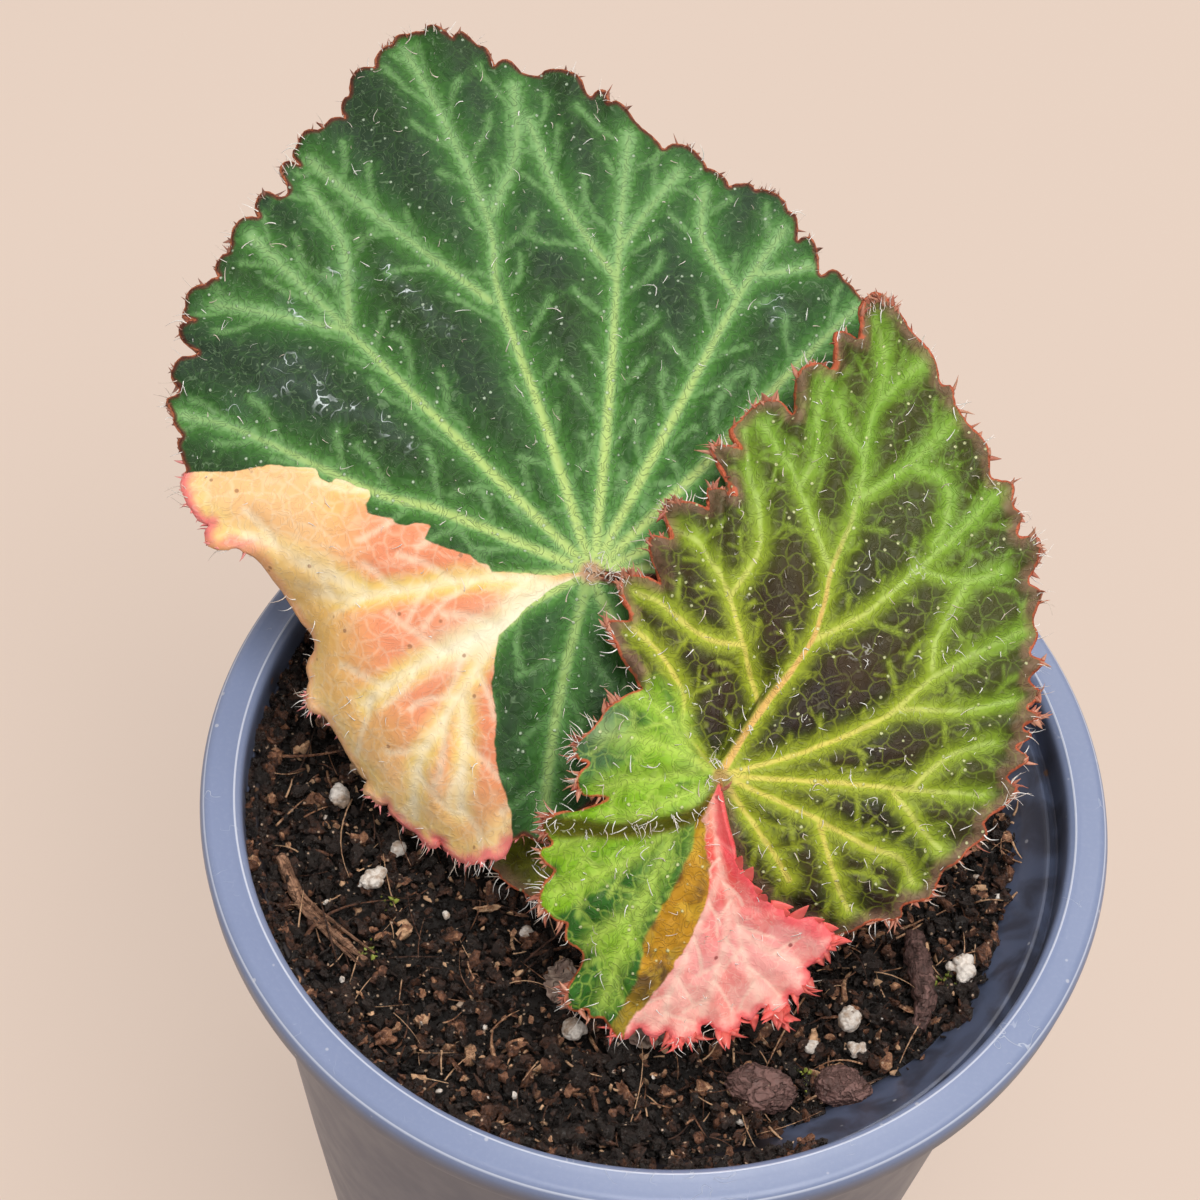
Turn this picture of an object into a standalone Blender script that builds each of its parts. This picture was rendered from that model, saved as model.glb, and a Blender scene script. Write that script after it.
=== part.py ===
"""Potted begonia: a round nursery pot filled with potting mix, and a creeping rhizome that carries
two large leaves and a young one. Metres, +Z up, origin at the centre of the pot's base."""

import math

import bmesh
import bpy
from mathutils import Matrix, Vector, noise
from mathutils.bvhtree import BVHTree

MM = 0.001
GAP = 0.3 * MM  # between a piece and what it rests on or joins

# Pot
POT_HEIGHT = 98 * MM
RIM_RADIUS = 55 * MM
BODY_RADIUS = 50.6 * MM  # outside, just under the rim
BASE_RADIUS = 39.5 * MM
SKIRT_DEPTH = 5.5 * MM  # how far the rim's outer edge hangs down
FLOOR_TOP = 2.4 * MM
WALL_FOOT = (37.6 * MM, 3.8 * MM)  # radius and height where the wall's inside meets the floor
WALL_HEAD = (47.6 * MM, 88.8 * MM)  # and where it meets the underside of the ledge
# The ledge inside the rim slopes down and inwards at 45 degrees, from a small bead to its lip
LEDGE_TOP = (48.2 * MM, 92.5 * MM)
LEDGE_LIP = (41.0 * MM, 85.3 * MM)
LEDGE_THICKNESS = 1.8 * MM
POT_STEPS = 48
DRAIN_HOLES = 6
DRAIN_RADIUS = 4 * MM
DRAIN_CIRCLE = 27 * MM

# Potting mix
MIX_HEIGHT = 90.5 * MM
MIX_SLOPE = 0.03  # falls towards the right
MIX_LUMPS = 0.5 * MM
MIX_HOLLOW = (23 * MM, -37 * MM, 3.6 * MM, 8 * MM)  # centre x and y, depth and spread
MIX_RINGS = 8

# Leaves. An outline is walked from one side of the notch at the stalk round to the other, as
# (angle from the leaf's right-hand side in degrees, reach in mm, rise of the edge in mm).
LEAF_THICKNESS = 0.9 * MM
LARGE_OUTLINE = [
    (1, 4, -0.5), (5, 17, -2), (12, 30, -4), (25, 40, -4), (40, 46, -4.5), (54, 50, -5),
    (66, 53, -5), (78, 55, -6), (87, 58, -6), (95, 63.5, -6.5), (103, 67.5, -7), (109, 74, -7),
    (114, 75.5, -7), (122, 69.5, -6.5), (130, 65, -6), (141, 62, -5.5), (151, 60, -5),
    (160, 56, -4.5), (171, 50, -4), (179, 46, -4), (183, 40, -4.5), (191, 35.5, -5.5),
    (200, 34.5, -7), (214, 35, -9), (228, 35.5, -11), (240, 36.5, -10.5), (254, 35.5, -10),
    (262, 32.5, -9), (273, 27, -8.5), (290, 24, -7), (310, 20, -5), (328, 14, -3), (338, 9, -1.5),
    (344, 4, -0.5),
]
SMALL_OUTLINE = [
    (-52, 18.5, -6.5), (-48, 21, -7), (-40, 23, -6.5), (-25, 26, -5.5), (-12, 28.5, -4.5),
    (0, 32, -3.5), (12, 35.5, -3), (25, 40, -3), (37, 43, -3), (47, 47, -3),
    (58, 51, -3.5), (67, 55, -4), (75, 60, -4), (79, 61.5, -4), (82, 53.5, -4), (86, 48, -4),
    (91, 44.5, -4), (95, 40, -4), (100, 34.5, -4), (108, 31, -4), (115, 26, -4), (124, 24, -3.5),
    (133, 20.5, -3.5), (142, 17, -3), (155, 15.5, -3), (170, 16, -3.5), (184, 16, -4),
    (196, 14.5, -4.5), (201, 16, -5.5), (204, 20, -6.5), (212, 21.5, -7), (221, 23.5, -7.5),
    (230, 24, -8), (238, 25, -8.5), (246, 28, -9), (256, 30, -9.5), (268, 30, -10),
    (276, 28.5, -9.5), (284, 28, -9), (293, 26, -8), (302, 24.5, -7.5), (309, 22.5, -7),
    (315, 22, -6.5),
]
YOUNG_OUTLINE = [
    (25, 2, 0), (45, 4, -0.5), (75, 6.5, -1), (120, 9.5, -1.5), (160, 12, -2), (190, 13, -2),
    (215, 13, -2), (245, 12, -2), (280, 9.5, -1.5), (310, 6, -1), (330, 2, 0),
]
# name: outline, place of the stalk's joint in mm, tilt and roll in degrees, half the height between
# the notch's two sides in mm, faces along the edge and towards the middle
LEAVES = {
    "leaf_large": (LARGE_OUTLINE, (-10.6, 13.3, 122), 20, 0, 0, 64, 6),
    "leaf_small": (SMALL_OUTLINE, (6.4, -10.5, 118), 25, -4, 1.1, 80, 6),
    "leaf_young": (YOUNG_OUTLINE, (-8.5, -4.5, 98.8), 8, 14, 0, 20, 4),
}
NOTCH_REACH = 5 * MM  # where the notch's two sides have come to their full height apart
NOTCH_SWEEP = (16, 30)  # degrees its two sides swing between the stalk's joint and the edge

# name: middle points of the stalk in mm, where it leaves the rhizome (x, y in mm), radius at both ends
STALKS = {
    "leaf_large": ([(-4, 7, 101), (-8, 13.4, 111)], (-2.5, 4.3), 1.8 * MM, 1.4 * MM),
    "leaf_small": ([(5.5, -3.5, 101), (7.8, -8.3, 110)], (3.2, -3.3), 1.6 * MM, 1.3 * MM),
    "leaf_young": ([(-3, -1.2, 97)], (0.4, 0.4), 0.8 * MM, 0.7 * MM),
}
STALK_SEAT = 0.5 * MM  # gap under the leaf, whose underside is slightly hollow there

RHIZOME = [(-6.5, 10, -0.6), (-2.5, 4.3, 0.3), (3.2, -3.3, 0.3), (8, -10.5, -0.8)]
RHIZOME_RADII = [1.7, 2.3, 2.3, 1.5]

# Loose pieces lying on the mix, all in mm
TWIG = [(-44.2, -12.2, 0.5), (-41.1, -17.6, 0), (-36.6, -21.4, 0.3), (-32.3, -24.5, 0)]
TWIG_RADII = [0.9, 0.8, 0.7, 0.4]
STRIP = [(32.4, -12.1, 0), (33.2, -16.5, 0.4), (34.1, -21, 0.2), (33.6, -24.8, 0)]
STRIP_RADII = [1.1, 1.5, 1.4, 0.8]
LUMPS = [(15.3, -34.2, 3.7), (24.9, -32.3, 3.0)]  # x, y, half-width
GRAINS = [  # perlite: x, y, radius
    (-38.3, -2.6, 1.5), (-30.4, -8.8, 1.2), (-33, -13.2, 1.6), (-13.9, -18.2, 1), (-7.2, -30.4, 1.6),
    (25.2, -24.5, 1.6), (26.4, -27.6, 1.1), (20.9, -27.9, 1), (38.5, -16.4, 1.8),
]
DRY_SCALES = [(-9.2, -24.6, 3, 80), (1.6, -30.6, 2.2, 15)]  # x, y, half-length, turn in degrees
DRY_SCALE_THICKNESS = 0.5 * MM

COLOURS = {  # base colour, roughness
    "pot_plastic": ((0.235, 0.275, 0.375), 0.42),
    "potting_mix": ((0.035, 0.022, 0.015), 0.95),
    "leaf_dark": ((0.03, 0.11, 0.045), 0.55),
    "leaf_net": ((0.09, 0.15, 0.03), 0.55),
    "stalk": ((0.33, 0.11, 0.08), 0.5),
    "bark": ((0.10, 0.05, 0.03), 0.9),
    "perlite": ((0.8, 0.77, 0.72), 0.9),
    "dry_scale": ((0.42, 0.33, 0.25), 0.8),
}


def clear_scene():
    for obj in list(bpy.data.objects):
        bpy.data.objects.remove(obj, do_unlink=True)


def new_collection(name):
    collection = bpy.data.collections.new(name)
    bpy.context.scene.collection.children.link(collection)
    return collection


def material(name):
    if name in bpy.data.materials:
        return bpy.data.materials[name]
    colour, roughness = COLOURS[name]
    made = bpy.data.materials.new(name)
    made.use_nodes = True
    shader = made.node_tree.nodes["Principled BSDF"]
    shader.inputs["Base Color"].default_value = (*colour, 1)
    shader.inputs["Roughness"].default_value = roughness
    shader.inputs["Metallic"].default_value = 0
    return made


def add_object(name, data, collection, finish):
    obj = bpy.data.objects.new(name, data)
    collection.objects.link(obj)
    data.materials.clear()
    data.materials.append(material(finish))
    return obj


def mesh_from(shape, name):
    mesh = bpy.data.meshes.new(name)
    shape.to_mesh(mesh)
    shape.free()
    return mesh


def solid_mesh(obj):
    """The object's evaluated shape as a mesh of its own, its seams welded, with the object removed."""
    bpy.context.view_layer.update()
    graph = bpy.context.evaluated_depsgraph_get()
    mesh = bpy.data.meshes.new_from_object(obj.evaluated_get(graph))
    mesh.transform(obj.matrix_world)
    bpy.data.objects.remove(obj, do_unlink=True)
    shape = bmesh.new()
    shape.from_mesh(mesh)
    bmesh.ops.remove_doubles(shape, verts=shape.verts, dist=0.01 * MM)
    shape.to_mesh(mesh)
    shape.free()
    return mesh


def tree_of(mesh):
    shape = bmesh.new()
    shape.from_mesh(mesh)
    tree = BVHTree.FromBMesh(shape)
    shape.free()
    return tree


def turned(name, profile, collection, finish):
    """A body turned about Z from points of (radius, height) that start and end on the axis."""
    mesh = bpy.data.meshes.new(name)
    edges = [(i, i + 1) for i in range(len(profile) - 1)]
    mesh.from_pydata([(radius, 0, height) for radius, height in profile], edges, [])
    obj = add_object(name, mesh, collection, finish)
    screw = obj.modifiers.new("turn", "SCREW")
    screw.steps = screw.render_steps = POT_STEPS
    screw.use_merge_vertices = True
    screw.merge_threshold = 0.05 * MM
    return obj


def ledge_radius(height):
    """Radius of the ledge's sloping top, which every height of the mix's edge meets."""
    return LEDGE_TOP[0] - (LEDGE_TOP[1] - height)


def mix_height(x, y):
    """Top of the potting mix: it slopes a little, is lumpy, and is hollow at the front right."""
    hollow_x, hollow_y, depth, spread = MIX_HOLLOW
    away = ((x - hollow_x) ** 2 + (y - hollow_y) ** 2) / (2 * spread**2)
    lumps = noise.noise(Vector((x, y, 0)) / (9 * MM)) * MIX_LUMPS
    return MIX_HEIGHT - MIX_SLOPE * x - depth * math.exp(-away) + lumps


def build_pot(parts, cutters):
    skirt = POT_HEIGHT - SKIRT_DEPTH
    under = LEDGE_THICKNESS * math.sqrt(2)  # the ledge's thickness measured straight down
    profile = [
        (0, FLOOR_TOP),
        (WALL_FOOT[0] - 1.4 * MM, FLOOR_TOP),
        WALL_FOOT,
        WALL_HEAD,
        (LEDGE_LIP[0] + 0.5 * MM, LEDGE_LIP[1] + 0.5 * MM - under),
        (LEDGE_LIP[0] - 0.4 * MM, LEDGE_LIP[1] - 1.6 * MM),
        (LEDGE_LIP[0] - 0.5 * MM, LEDGE_LIP[1] - 0.7 * MM),
        LEDGE_LIP,
        LEDGE_TOP,
        (LEDGE_TOP[0] + 0.4 * MM, LEDGE_TOP[1] + 0.1 * MM),
        (LEDGE_TOP[0] + 0.8 * MM, LEDGE_TOP[1] - 0.4 * MM),
        (49.6 * MM, LEDGE_TOP[1] - 0.4 * MM),
        (49.9 * MM, POT_HEIGHT - 1.2 * MM),
        (50.3 * MM, POT_HEIGHT - 0.3 * MM),
        (51.0 * MM, POT_HEIGHT),
        (RIM_RADIUS - 1.0 * MM, POT_HEIGHT),
        (RIM_RADIUS - 0.3 * MM, POT_HEIGHT - 0.4 * MM),
        (RIM_RADIUS, POT_HEIGHT - 1.3 * MM),
        (RIM_RADIUS - 0.4 * MM, skirt),
        (RIM_RADIUS - 1.7 * MM, skirt),
        (RIM_RADIUS - 1.6 * MM, POT_HEIGHT - 2.0 * MM),
        (BODY_RADIUS, POT_HEIGHT - 2.4 * MM),
        (BASE_RADIUS + 0.5 * MM, 1.2 * MM),
        (BASE_RADIUS - 0.9 * MM, 0),
        (0, 0),
    ]
    pot = turned("pot", profile, parts, "pot_plastic")
    for i in range(DRAIN_HOLES):
        angle = math.tau * i / DRAIN_HOLES
        shape = bmesh.new()
        bmesh.ops.create_cone(
            shape, cap_ends=True, segments=20, radius1=DRAIN_RADIUS, radius2=DRAIN_RADIUS,
            depth=4 * FLOOR_TOP,
        )
        name = f"drain_cutter_{i + 1}"
        cutter = add_object(name, mesh_from(shape, name), cutters, "pot_plastic")
        cutter.location = (DRAIN_CIRCLE * math.cos(angle), DRAIN_CIRCLE * math.sin(angle), 0)
        cutter.hide_render = True
        cutter.display_type = "WIRE"
        cut = pot.modifiers.new(name, "BOOLEAN")
        cut.operation = "DIFFERENCE"
        cut.object = cutter


def build_mix(parts):
    """A turned plug that fills the pot under and over the ledge, its flat top then made uneven."""
    slant = GAP * math.sqrt(2)  # a gap square to the ledge's slope, measured along the radius
    edge = ledge_radius(MIX_HEIGHT) - slant
    under = LEDGE_THICKNESS * math.sqrt(2) + slant
    profile = [(edge * i / MIX_RINGS, MIX_HEIGHT) for i in range(MIX_RINGS + 1)]
    profile += [
        (LEDGE_LIP[0] - slant - 0.1 * MM, LEDGE_LIP[1] - 0.1 * MM),
        (LEDGE_LIP[0] - 0.5 * MM - GAP, LEDGE_LIP[1] - 0.7 * MM),
        (LEDGE_LIP[0] - 0.4 * MM - GAP, LEDGE_LIP[1] - 1.8 * MM),
        (LEDGE_LIP[0] + 0.5 * MM, LEDGE_LIP[1] + 0.4 * MM - under),
        (WALL_HEAD[0] - 1.5 * GAP, WALL_HEAD[1] - 4 * GAP),
        (WALL_FOOT[0] - 1.5 * GAP, WALL_FOOT[1] + GAP / 2),
        (WALL_FOOT[0] - 1.4 * MM - GAP / 2, FLOOR_TOP + GAP),
        (0, FLOOR_TOP + GAP),
    ]
    mesh = solid_mesh(turned("mix_plug", profile, parts, "potting_mix"))
    for vertex in mesh.vertices:
        place = vertex.co
        if place.z < MIX_HEIGHT - GAP / 2:
            continue
        height = mix_height(place.x, place.y)
        out = math.hypot(place.x, place.y)
        if out > edge - GAP:
            reach = (ledge_radius(height) - slant) / out
            place.x, place.y = place.x * reach, place.y * reach
        place.z = height
    add_object("potting_mix", mesh, parts, "potting_mix")
    return mesh


def seat(mesh, *ground):
    """Lowers a mesh until the least gap straight down from it to the meshes below is GAP."""
    lift = 40 * MM
    mesh.transform(Matrix.Translation((0, 0, lift)))
    piece = tree_of(mesh)
    drops = []
    for below in ground:
        tree = tree_of(below)
        for vertex in mesh.vertices:
            drops.append(tree.ray_cast(vertex.co, Vector((0, 0, -1)))[3])
        for vertex in below.vertices:
            drops.append(piece.ray_cast(vertex.co, Vector((0, 0, 1)))[3])
    drop = min(found for found in drops if found is not None) - GAP
    mesh.transform(Matrix.Translation((0, 0, -drop)))
    return mesh


def smooth_line(points, steps=4):
    """Catmull-Rom points through the given ones."""
    ends = [2 * points[0] - points[1]] + points + [2 * points[-1] - points[-2]]
    line = []
    for before, start, end, after in zip(ends, ends[1:], ends[2:], ends[3:]):
        for i in range(steps):
            t = i / steps
            line.append(
                start
                + (end - before) * t / 2
                + (before - 2.5 * start + 2 * end - after / 2) * t**2
                + (3 * start - before - 3 * end + after) * t**3 / 2
            )
    return line + [points[-1]]


def tube_mesh(name, line, radii):
    """A closed round tube along the points, its radius running evenly through the given radii."""
    curve = bpy.data.curves.new(name, "CURVE")
    curve.dimensions = "3D"
    curve.bevel_depth = 1
    curve.bevel_resolution = 2
    curve.use_fill_caps = True
    spline = curve.splines.new("POLY")
    spline.points.add(len(line) - 1)
    for i, (point, place) in enumerate(zip(spline.points, line)):
        along = i / (len(line) - 1) * (len(radii) - 1)
        step = min(int(along), len(radii) - 2)
        point.co = (*place, 1)
        point.radius = radii[step] + (radii[step + 1] - radii[step]) * (along - step)
    obj = bpy.data.objects.new(name, curve)
    bpy.context.scene.collection.objects.link(obj)
    return solid_mesh(obj)


def lying_line(points):
    """Millimetre points over the mix, each at its own height above the mix's surface."""
    line = []
    for x, y, above in points:
        line.append(Vector((x * MM, y * MM, mix_height(x * MM, y * MM) + above * MM)))
    return smooth_line(line)


def eased(value):
    value = max(0, min(1, value))
    return value * value * (3 - 2 * value)


def leaf_frame(tilt, roll):
    """The leaf's right-hand, tip-ward and upward directions."""
    right = Vector((math.cos(math.radians(roll)), 0, math.sin(math.radians(roll))))
    back = Vector((0, math.cos(math.radians(tilt)), math.sin(math.radians(tilt))))
    back = (back - right * back.dot(right)).normalized()
    return right, back, right.cross(back)


def outline_at(outline, share):
    """Angle, reach and rise of the edge, at a share of the way round it by length."""
    edge = [Vector((r * math.cos(math.radians(a)), r * math.sin(math.radians(a)))) for a, r, w in outline]
    lengths = [0]
    for a, b in zip(edge, edge[1:]):
        lengths.append(lengths[-1] + (b - a).length)
    wanted = share * lengths[-1]
    i = 0
    while i < len(lengths) - 2 and lengths[i + 1] < wanted:
        i += 1
    part = (wanted - lengths[i]) / (lengths[i + 1] - lengths[i])
    return [a + (b - a) * part for a, b in zip(outline[i], outline[i + 1])]


def leaf_point(leaf, share, t):
    """A point of the leaf's middle surface: t runs from the stalk's joint to the edge."""
    outline, joint, tilt, roll, lift = leaf[:5]
    right, back, up = leaf_frame(tilt, roll)
    angle, reach, rise = outline_at(outline, share)
    middle = (outline[0][0] + outline[-1][0]) / 2
    middle = (outline[0][0] + outline[-1][0]) / 2
    side = (angle - middle) / (outline[-1][0] - middle)
    out = reach * t
    height = rise * t * t
    if lift:
        angle -= NOTCH_SWEEP[side > 0] * side**4 * (1 - t)
        height += lift * side**7 * eased(out * MM / NOTCH_REACH)
    turn = math.radians(angle)
    flat = right * math.cos(turn) + back * math.sin(turn)
    return (Vector(joint) + flat * out + up * height) * MM


def build_leaf(name, parts, finish):
    """A sheet in rings round the stalk's joint, thickened; its notch stays open."""
    leaf = LEAVES[name]
    along, inward = leaf[5:]
    shape = bmesh.new()
    bmesh.ops.create_grid(shape, x_segments=along, y_segments=inward, size=0.5)
    for vertex in shape.verts:
        vertex.co = leaf_point(leaf, vertex.co.x + 0.5, vertex.co.y + 0.5)
    bmesh.ops.remove_doubles(shape, verts=shape.verts, dist=0.01 * MM)
    obj = add_object(f"{name}_blade", mesh_from(shape, f"{name}_blade"), parts, finish)
    thicken = obj.modifiers.new("thickness", "SOLIDIFY")
    thicken.thickness = LEAF_THICKNESS
    thicken.offset = 0


def build_stalk(name, parts, rhizome):
    """Up from the rhizome's back, straight at first, and square to the leaf's underside at the top."""
    middles, (x, y), low_radius, high_radius = STALKS[name]
    outline, joint, tilt, roll = LEAVES[name][:4]
    up = leaf_frame(tilt, roll)[2]
    above = Vector((x * MM, y * MM, POT_HEIGHT))
    foot = tree_of(rhizome).ray_cast(above, Vector((0, 0, -1)))[0] + Vector((0, 0, GAP))
    head = Vector(joint) * MM - up * (LEAF_THICKNESS / 2 + STALK_SEAT)
    line = smooth_line(
        [foot + Vector((0, 0, 1 * MM))] + [Vector(point) * MM for point in middles] + [head - up * MM]
    )
    mesh = tube_mesh(f"{name}_stalk", [foot] + line + [head], [low_radius, high_radius])
    add_object(f"{name}_stalk", mesh, parts, "stalk")


def build_rhizome(parts, mix):
    mesh = tube_mesh("rhizome", lying_line(RHIZOME), [radius * MM for radius in RHIZOME_RADII])
    add_object("rhizome", seat(mesh, mix), parts, "stalk")
    return mesh


def pebble_mesh(name, x, y, radius, flatness, roughness, subdivisions):
    """A rounded grain with an uneven surface."""
    shape = bmesh.new()
    bmesh.ops.create_icosphere(shape, subdivisions=subdivisions, radius=radius * MM)
    for vertex in shape.verts:
        bump = noise.noise(vertex.co / (radius * MM) + Vector((x, y, 0)))
        vertex.co *= 1 + roughness * bump
        vertex.co.z *= flatness
        vertex.co += Vector((x * MM, y * MM, MIX_HEIGHT))
    return mesh_from(shape, name)


def build_loose_pieces(parts, mix):
    twig = tube_mesh("twig", lying_line(TWIG), [radius * MM for radius in TWIG_RADII])
    add_object("twig", seat(twig, mix), parts, "bark")
    strip = tube_mesh("bark_strip", lying_line(STRIP), [radius * MM for radius in STRIP_RADII])
    add_object("bark_strip", seat(strip, mix), parts, "bark")
    for i, (x, y, radius) in enumerate(LUMPS):
        lump = pebble_mesh(f"bark_lump_{i + 1}", x, y, radius, 0.7, 0.3, 3)
        add_object(lump.name, seat(lump, mix), parts, "bark")
    for i, (x, y, radius) in enumerate(GRAINS):
        grain = pebble_mesh(f"perlite_{i + 1}", x, y, radius, 0.85, 0.25, 2)
        add_object(grain.name, seat(grain, mix), parts, "perlite")
    for i, scale in enumerate(DRY_SCALES):
        name = f"dry_scale_{i + 1}"
        add_object(name, seat(dry_scale_mesh(name, *scale), mix), parts, "dry_scale")


def dry_scale_mesh(name, x, y, half_length, turn):
    """A papery scale: pointed at both ends, and cupped."""
    shape = bmesh.new()
    bmesh.ops.create_grid(shape, x_segments=8, y_segments=4, size=1)
    for vertex in shape.verts:
        along, across = vertex.co.x, vertex.co.y
        width = 0.12 + 0.5 * (1 - along**2)
        vertex.co = Vector((along, across * width, 0.35 * (across * width) ** 2 + 0.2 * along**2))
    place = Matrix.Translation((x * MM, y * MM, MIX_HEIGHT)) @ Matrix.Rotation(math.radians(turn), 4, "Z")
    bmesh.ops.transform(shape, matrix=place @ Matrix.Scale(half_length * MM, 4), verts=shape.verts)
    sheet = mesh_from(shape, f"{name}_sheet")
    obj = add_object(sheet.name, sheet, bpy.context.scene.collection, "dry_scale")
    thicken = obj.modifiers.new("thickness", "SOLIDIFY")
    thicken.thickness = DRY_SCALE_THICKNESS
    thicken.offset = 0
    return solid_mesh(obj)


def main():
    clear_scene()
    parts = new_collection("potted_begonia")
    cutters = new_collection("cutters")
    build_pot(parts, cutters)
    mix = build_mix(parts)
    rhizome = build_rhizome(parts, mix)
    build_leaf("leaf_large", parts, "leaf_dark")
    build_leaf("leaf_small", parts, "leaf_net")
    build_leaf("leaf_young", parts, "leaf_net")
    for name in LEAVES:
        build_stalk(name, parts, rhizome)
    build_loose_pieces(parts, mix)


main()
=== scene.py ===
# Potted begonia: a young rex begonia with two large leaves in a round nursery pot
import bmesh
import bpy
import math
import numpy as np
from mathutils import Matrix, Vector, noise


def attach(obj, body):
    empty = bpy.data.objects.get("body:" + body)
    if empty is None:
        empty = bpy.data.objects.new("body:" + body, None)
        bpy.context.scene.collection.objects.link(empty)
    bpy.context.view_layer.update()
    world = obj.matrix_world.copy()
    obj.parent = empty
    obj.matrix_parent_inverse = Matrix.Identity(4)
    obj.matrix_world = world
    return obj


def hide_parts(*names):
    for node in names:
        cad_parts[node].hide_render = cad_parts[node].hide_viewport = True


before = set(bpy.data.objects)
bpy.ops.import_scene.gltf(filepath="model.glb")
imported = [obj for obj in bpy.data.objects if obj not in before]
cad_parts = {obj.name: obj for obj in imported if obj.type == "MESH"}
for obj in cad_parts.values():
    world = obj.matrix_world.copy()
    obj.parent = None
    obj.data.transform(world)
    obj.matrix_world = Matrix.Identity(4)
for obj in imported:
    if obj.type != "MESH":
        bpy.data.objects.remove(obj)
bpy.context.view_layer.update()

mm = 0.001
scene = bpy.context.scene
scene.view_settings.view_transform = "Standard"
print("Frame loaded:", len(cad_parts), "nodes")


# Small helpers for objects

def deselectAll():
    if bpy.context.mode != "OBJECT":
        bpy.ops.object.mode_set(mode="OBJECT")
    bpy.ops.object.select_all(action="DESELECT")


def pickOnly(obj):
    deselectAll()
    obj.select_set(True)
    bpy.context.view_layer.objects.active = obj


def editAll(obj):  # into edit mode with everything selected
    pickOnly(obj)
    bpy.ops.object.mode_set(mode="EDIT")
    bpy.ops.mesh.select_all(action="SELECT")


def joinTo(obj, others):
    pickOnly(obj)
    for other in others:
        other.select_set(True)
    bpy.ops.object.join()


def applyTransform(obj):
    pickOnly(obj)
    bpy.ops.object.transform_apply(location=True, rotation=True, scale=True)


def applyModifier(obj, kind, **settings):
    pickOnly(obj)
    modifier = obj.modifiers.new(kind.lower(), kind)
    for name, value in settings.items():
        setattr(modifier, name, value)
    bpy.ops.object.modifier_apply(modifier=modifier.name)


def cutEdges(obj, chosen, cuts):  # subdivides the edges whose two ends a test picks out
    editAll(obj)
    bpy.ops.mesh.select_mode(type="EDGE")
    bpy.ops.mesh.select_all(action="DESELECT")
    shape = bmesh.from_edit_mesh(obj.data)
    for edge in shape.edges:
        edge.select = chosen(edge.verts[0].co, edge.verts[1].co)
    shape.select_flush_mode()
    bmesh.update_edit_mesh(obj.data)
    bpy.ops.mesh.subdivide(number_cuts=cuts)
    bpy.ops.object.mode_set(mode="OBJECT")


def closeSkin(obj, near):  # doubles within this many mm merged, faces turned outwards
    editAll(obj)
    bpy.ops.mesh.remove_doubles(threshold=near * mm)
    bpy.ops.mesh.normals_make_consistent(inside=False)
    bpy.ops.object.mode_set(mode="OBJECT")


def smoothShade(obj, angle=None):
    pickOnly(obj)
    if angle is None:
        bpy.ops.object.shade_smooth()
    else:
        bpy.ops.object.shade_smooth_by_angle(angle=math.radians(angle))


def getPoints(mesh):
    points = np.empty(len(mesh.vertices) * 3)
    mesh.vertices.foreach_get("co", points)
    return points.reshape(-1, 3)


def setPoints(mesh, points):
    mesh.vertices.foreach_set("co", np.asarray(points, np.float64).ravel())
    mesh.update()


def setAttributes(mesh, **values):
    for name, numbers in values.items():
        mesh.attributes.new(name, "FLOAT", "POINT").data.foreach_set("value", np.asarray(numbers, np.float64))


def takeModel(obj):  # its points and faces, for copies; the object goes
    model = getPoints(obj.data), [tuple(face.vertices) for face in obj.data.polygons]
    bpy.data.objects.remove(obj)
    return model


def tallRod(sides, cuts):  # a rod of radius 1 and height 1 from the origin up, cut across
    deselectAll()
    bpy.ops.mesh.primitive_cylinder_add(vertices=sides, radius=1, depth=1, location=(0, 0, 0.5),
                                        end_fill_type="TRIFAN")
    rod = bpy.context.object
    applyTransform(rod)
    cutEdges(rod, lambda low, high: abs(low.z - high.z) > 0.9, cuts)
    return rod


def meshFrom(name, points, faces):
    mesh = bpy.data.meshes.new(name)
    mesh.from_pydata([tuple(point) for point in points], [], faces)
    mesh.update()
    made = bpy.data.objects.new(name, mesh)
    scene.collection.objects.link(made)
    return made


def finishPiece(obj, name, material, replaced=None, angle=None):  # smoothed, up to this angle if given
    smoothShade(obj, angle)
    obj.name = name
    obj.data.name = name
    if material:
        obj.data.materials.clear()
        obj.data.materials.append(material)
    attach(obj, "root")
    if replaced:
        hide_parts(replaced)
    print("Piece made:", name, len(obj.data.polygons), "faces")


# Small helpers for materials, which all work on the material begun last

current = {}


def newMaterial(name):
    made = bpy.data.materials.new(name)
    made.use_nodes = True
    current["tree"], current["shader"] = made.node_tree, made.node_tree.nodes["Principled BSDF"]
    return made


def feed(socket, value):
    if isinstance(value, bpy.types.NodeSocket):
        current["tree"].links.new(value, socket)
    elif isinstance(value, tuple) and socket.type == "RGBA":
        socket.default_value = (*value, 1)
    else:
        socket.default_value = value


def setShader(colour, roughness, specular=0.5):
    for name, value in (("Base Color", colour), ("Roughness", roughness), ("Specular IOR Level", specular)):
        feed(current["shader"].inputs[name], value)


def addNode(kind, inputs=None, **settings):
    made = current["tree"].nodes.new("ShaderNode" + kind)
    for name, value in settings.items():
        setattr(made, name, value)
    for name, value in (inputs or {}).items():
        feed(made.inputs[name], value)
    return made


def maths(operation, first, second=0.0, clamp=False):
    return addNode("Math", {0: first, 1: second}, operation=operation, use_clamp=clamp).outputs[0]


def times(first, *others):
    for other in others:
        first = maths("MULTIPLY", first, other)
    return first


def most(first, *others):
    for other in others:
        first = maths("MAXIMUM", first, other)
    return first


def plus(first, second):
    return maths("ADD", first, second)


def minus(first, second):
    return maths("SUBTRACT", first, second)


def apart(first, second):  # how far one value is from the other
    return maths("ABSOLUTE", minus(first, second))


def span(value, low, high, toLow=0.0, toHigh=1.0):  # 0 at low and 1 at high, eased between
    facts = {"Value": value, "From Min": low, "From Max": high, "To Min": toLow, "To Max": toHigh}
    return addNode("MapRange", facts, interpolation_type="SMOOTHSTEP").outputs[0]


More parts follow.
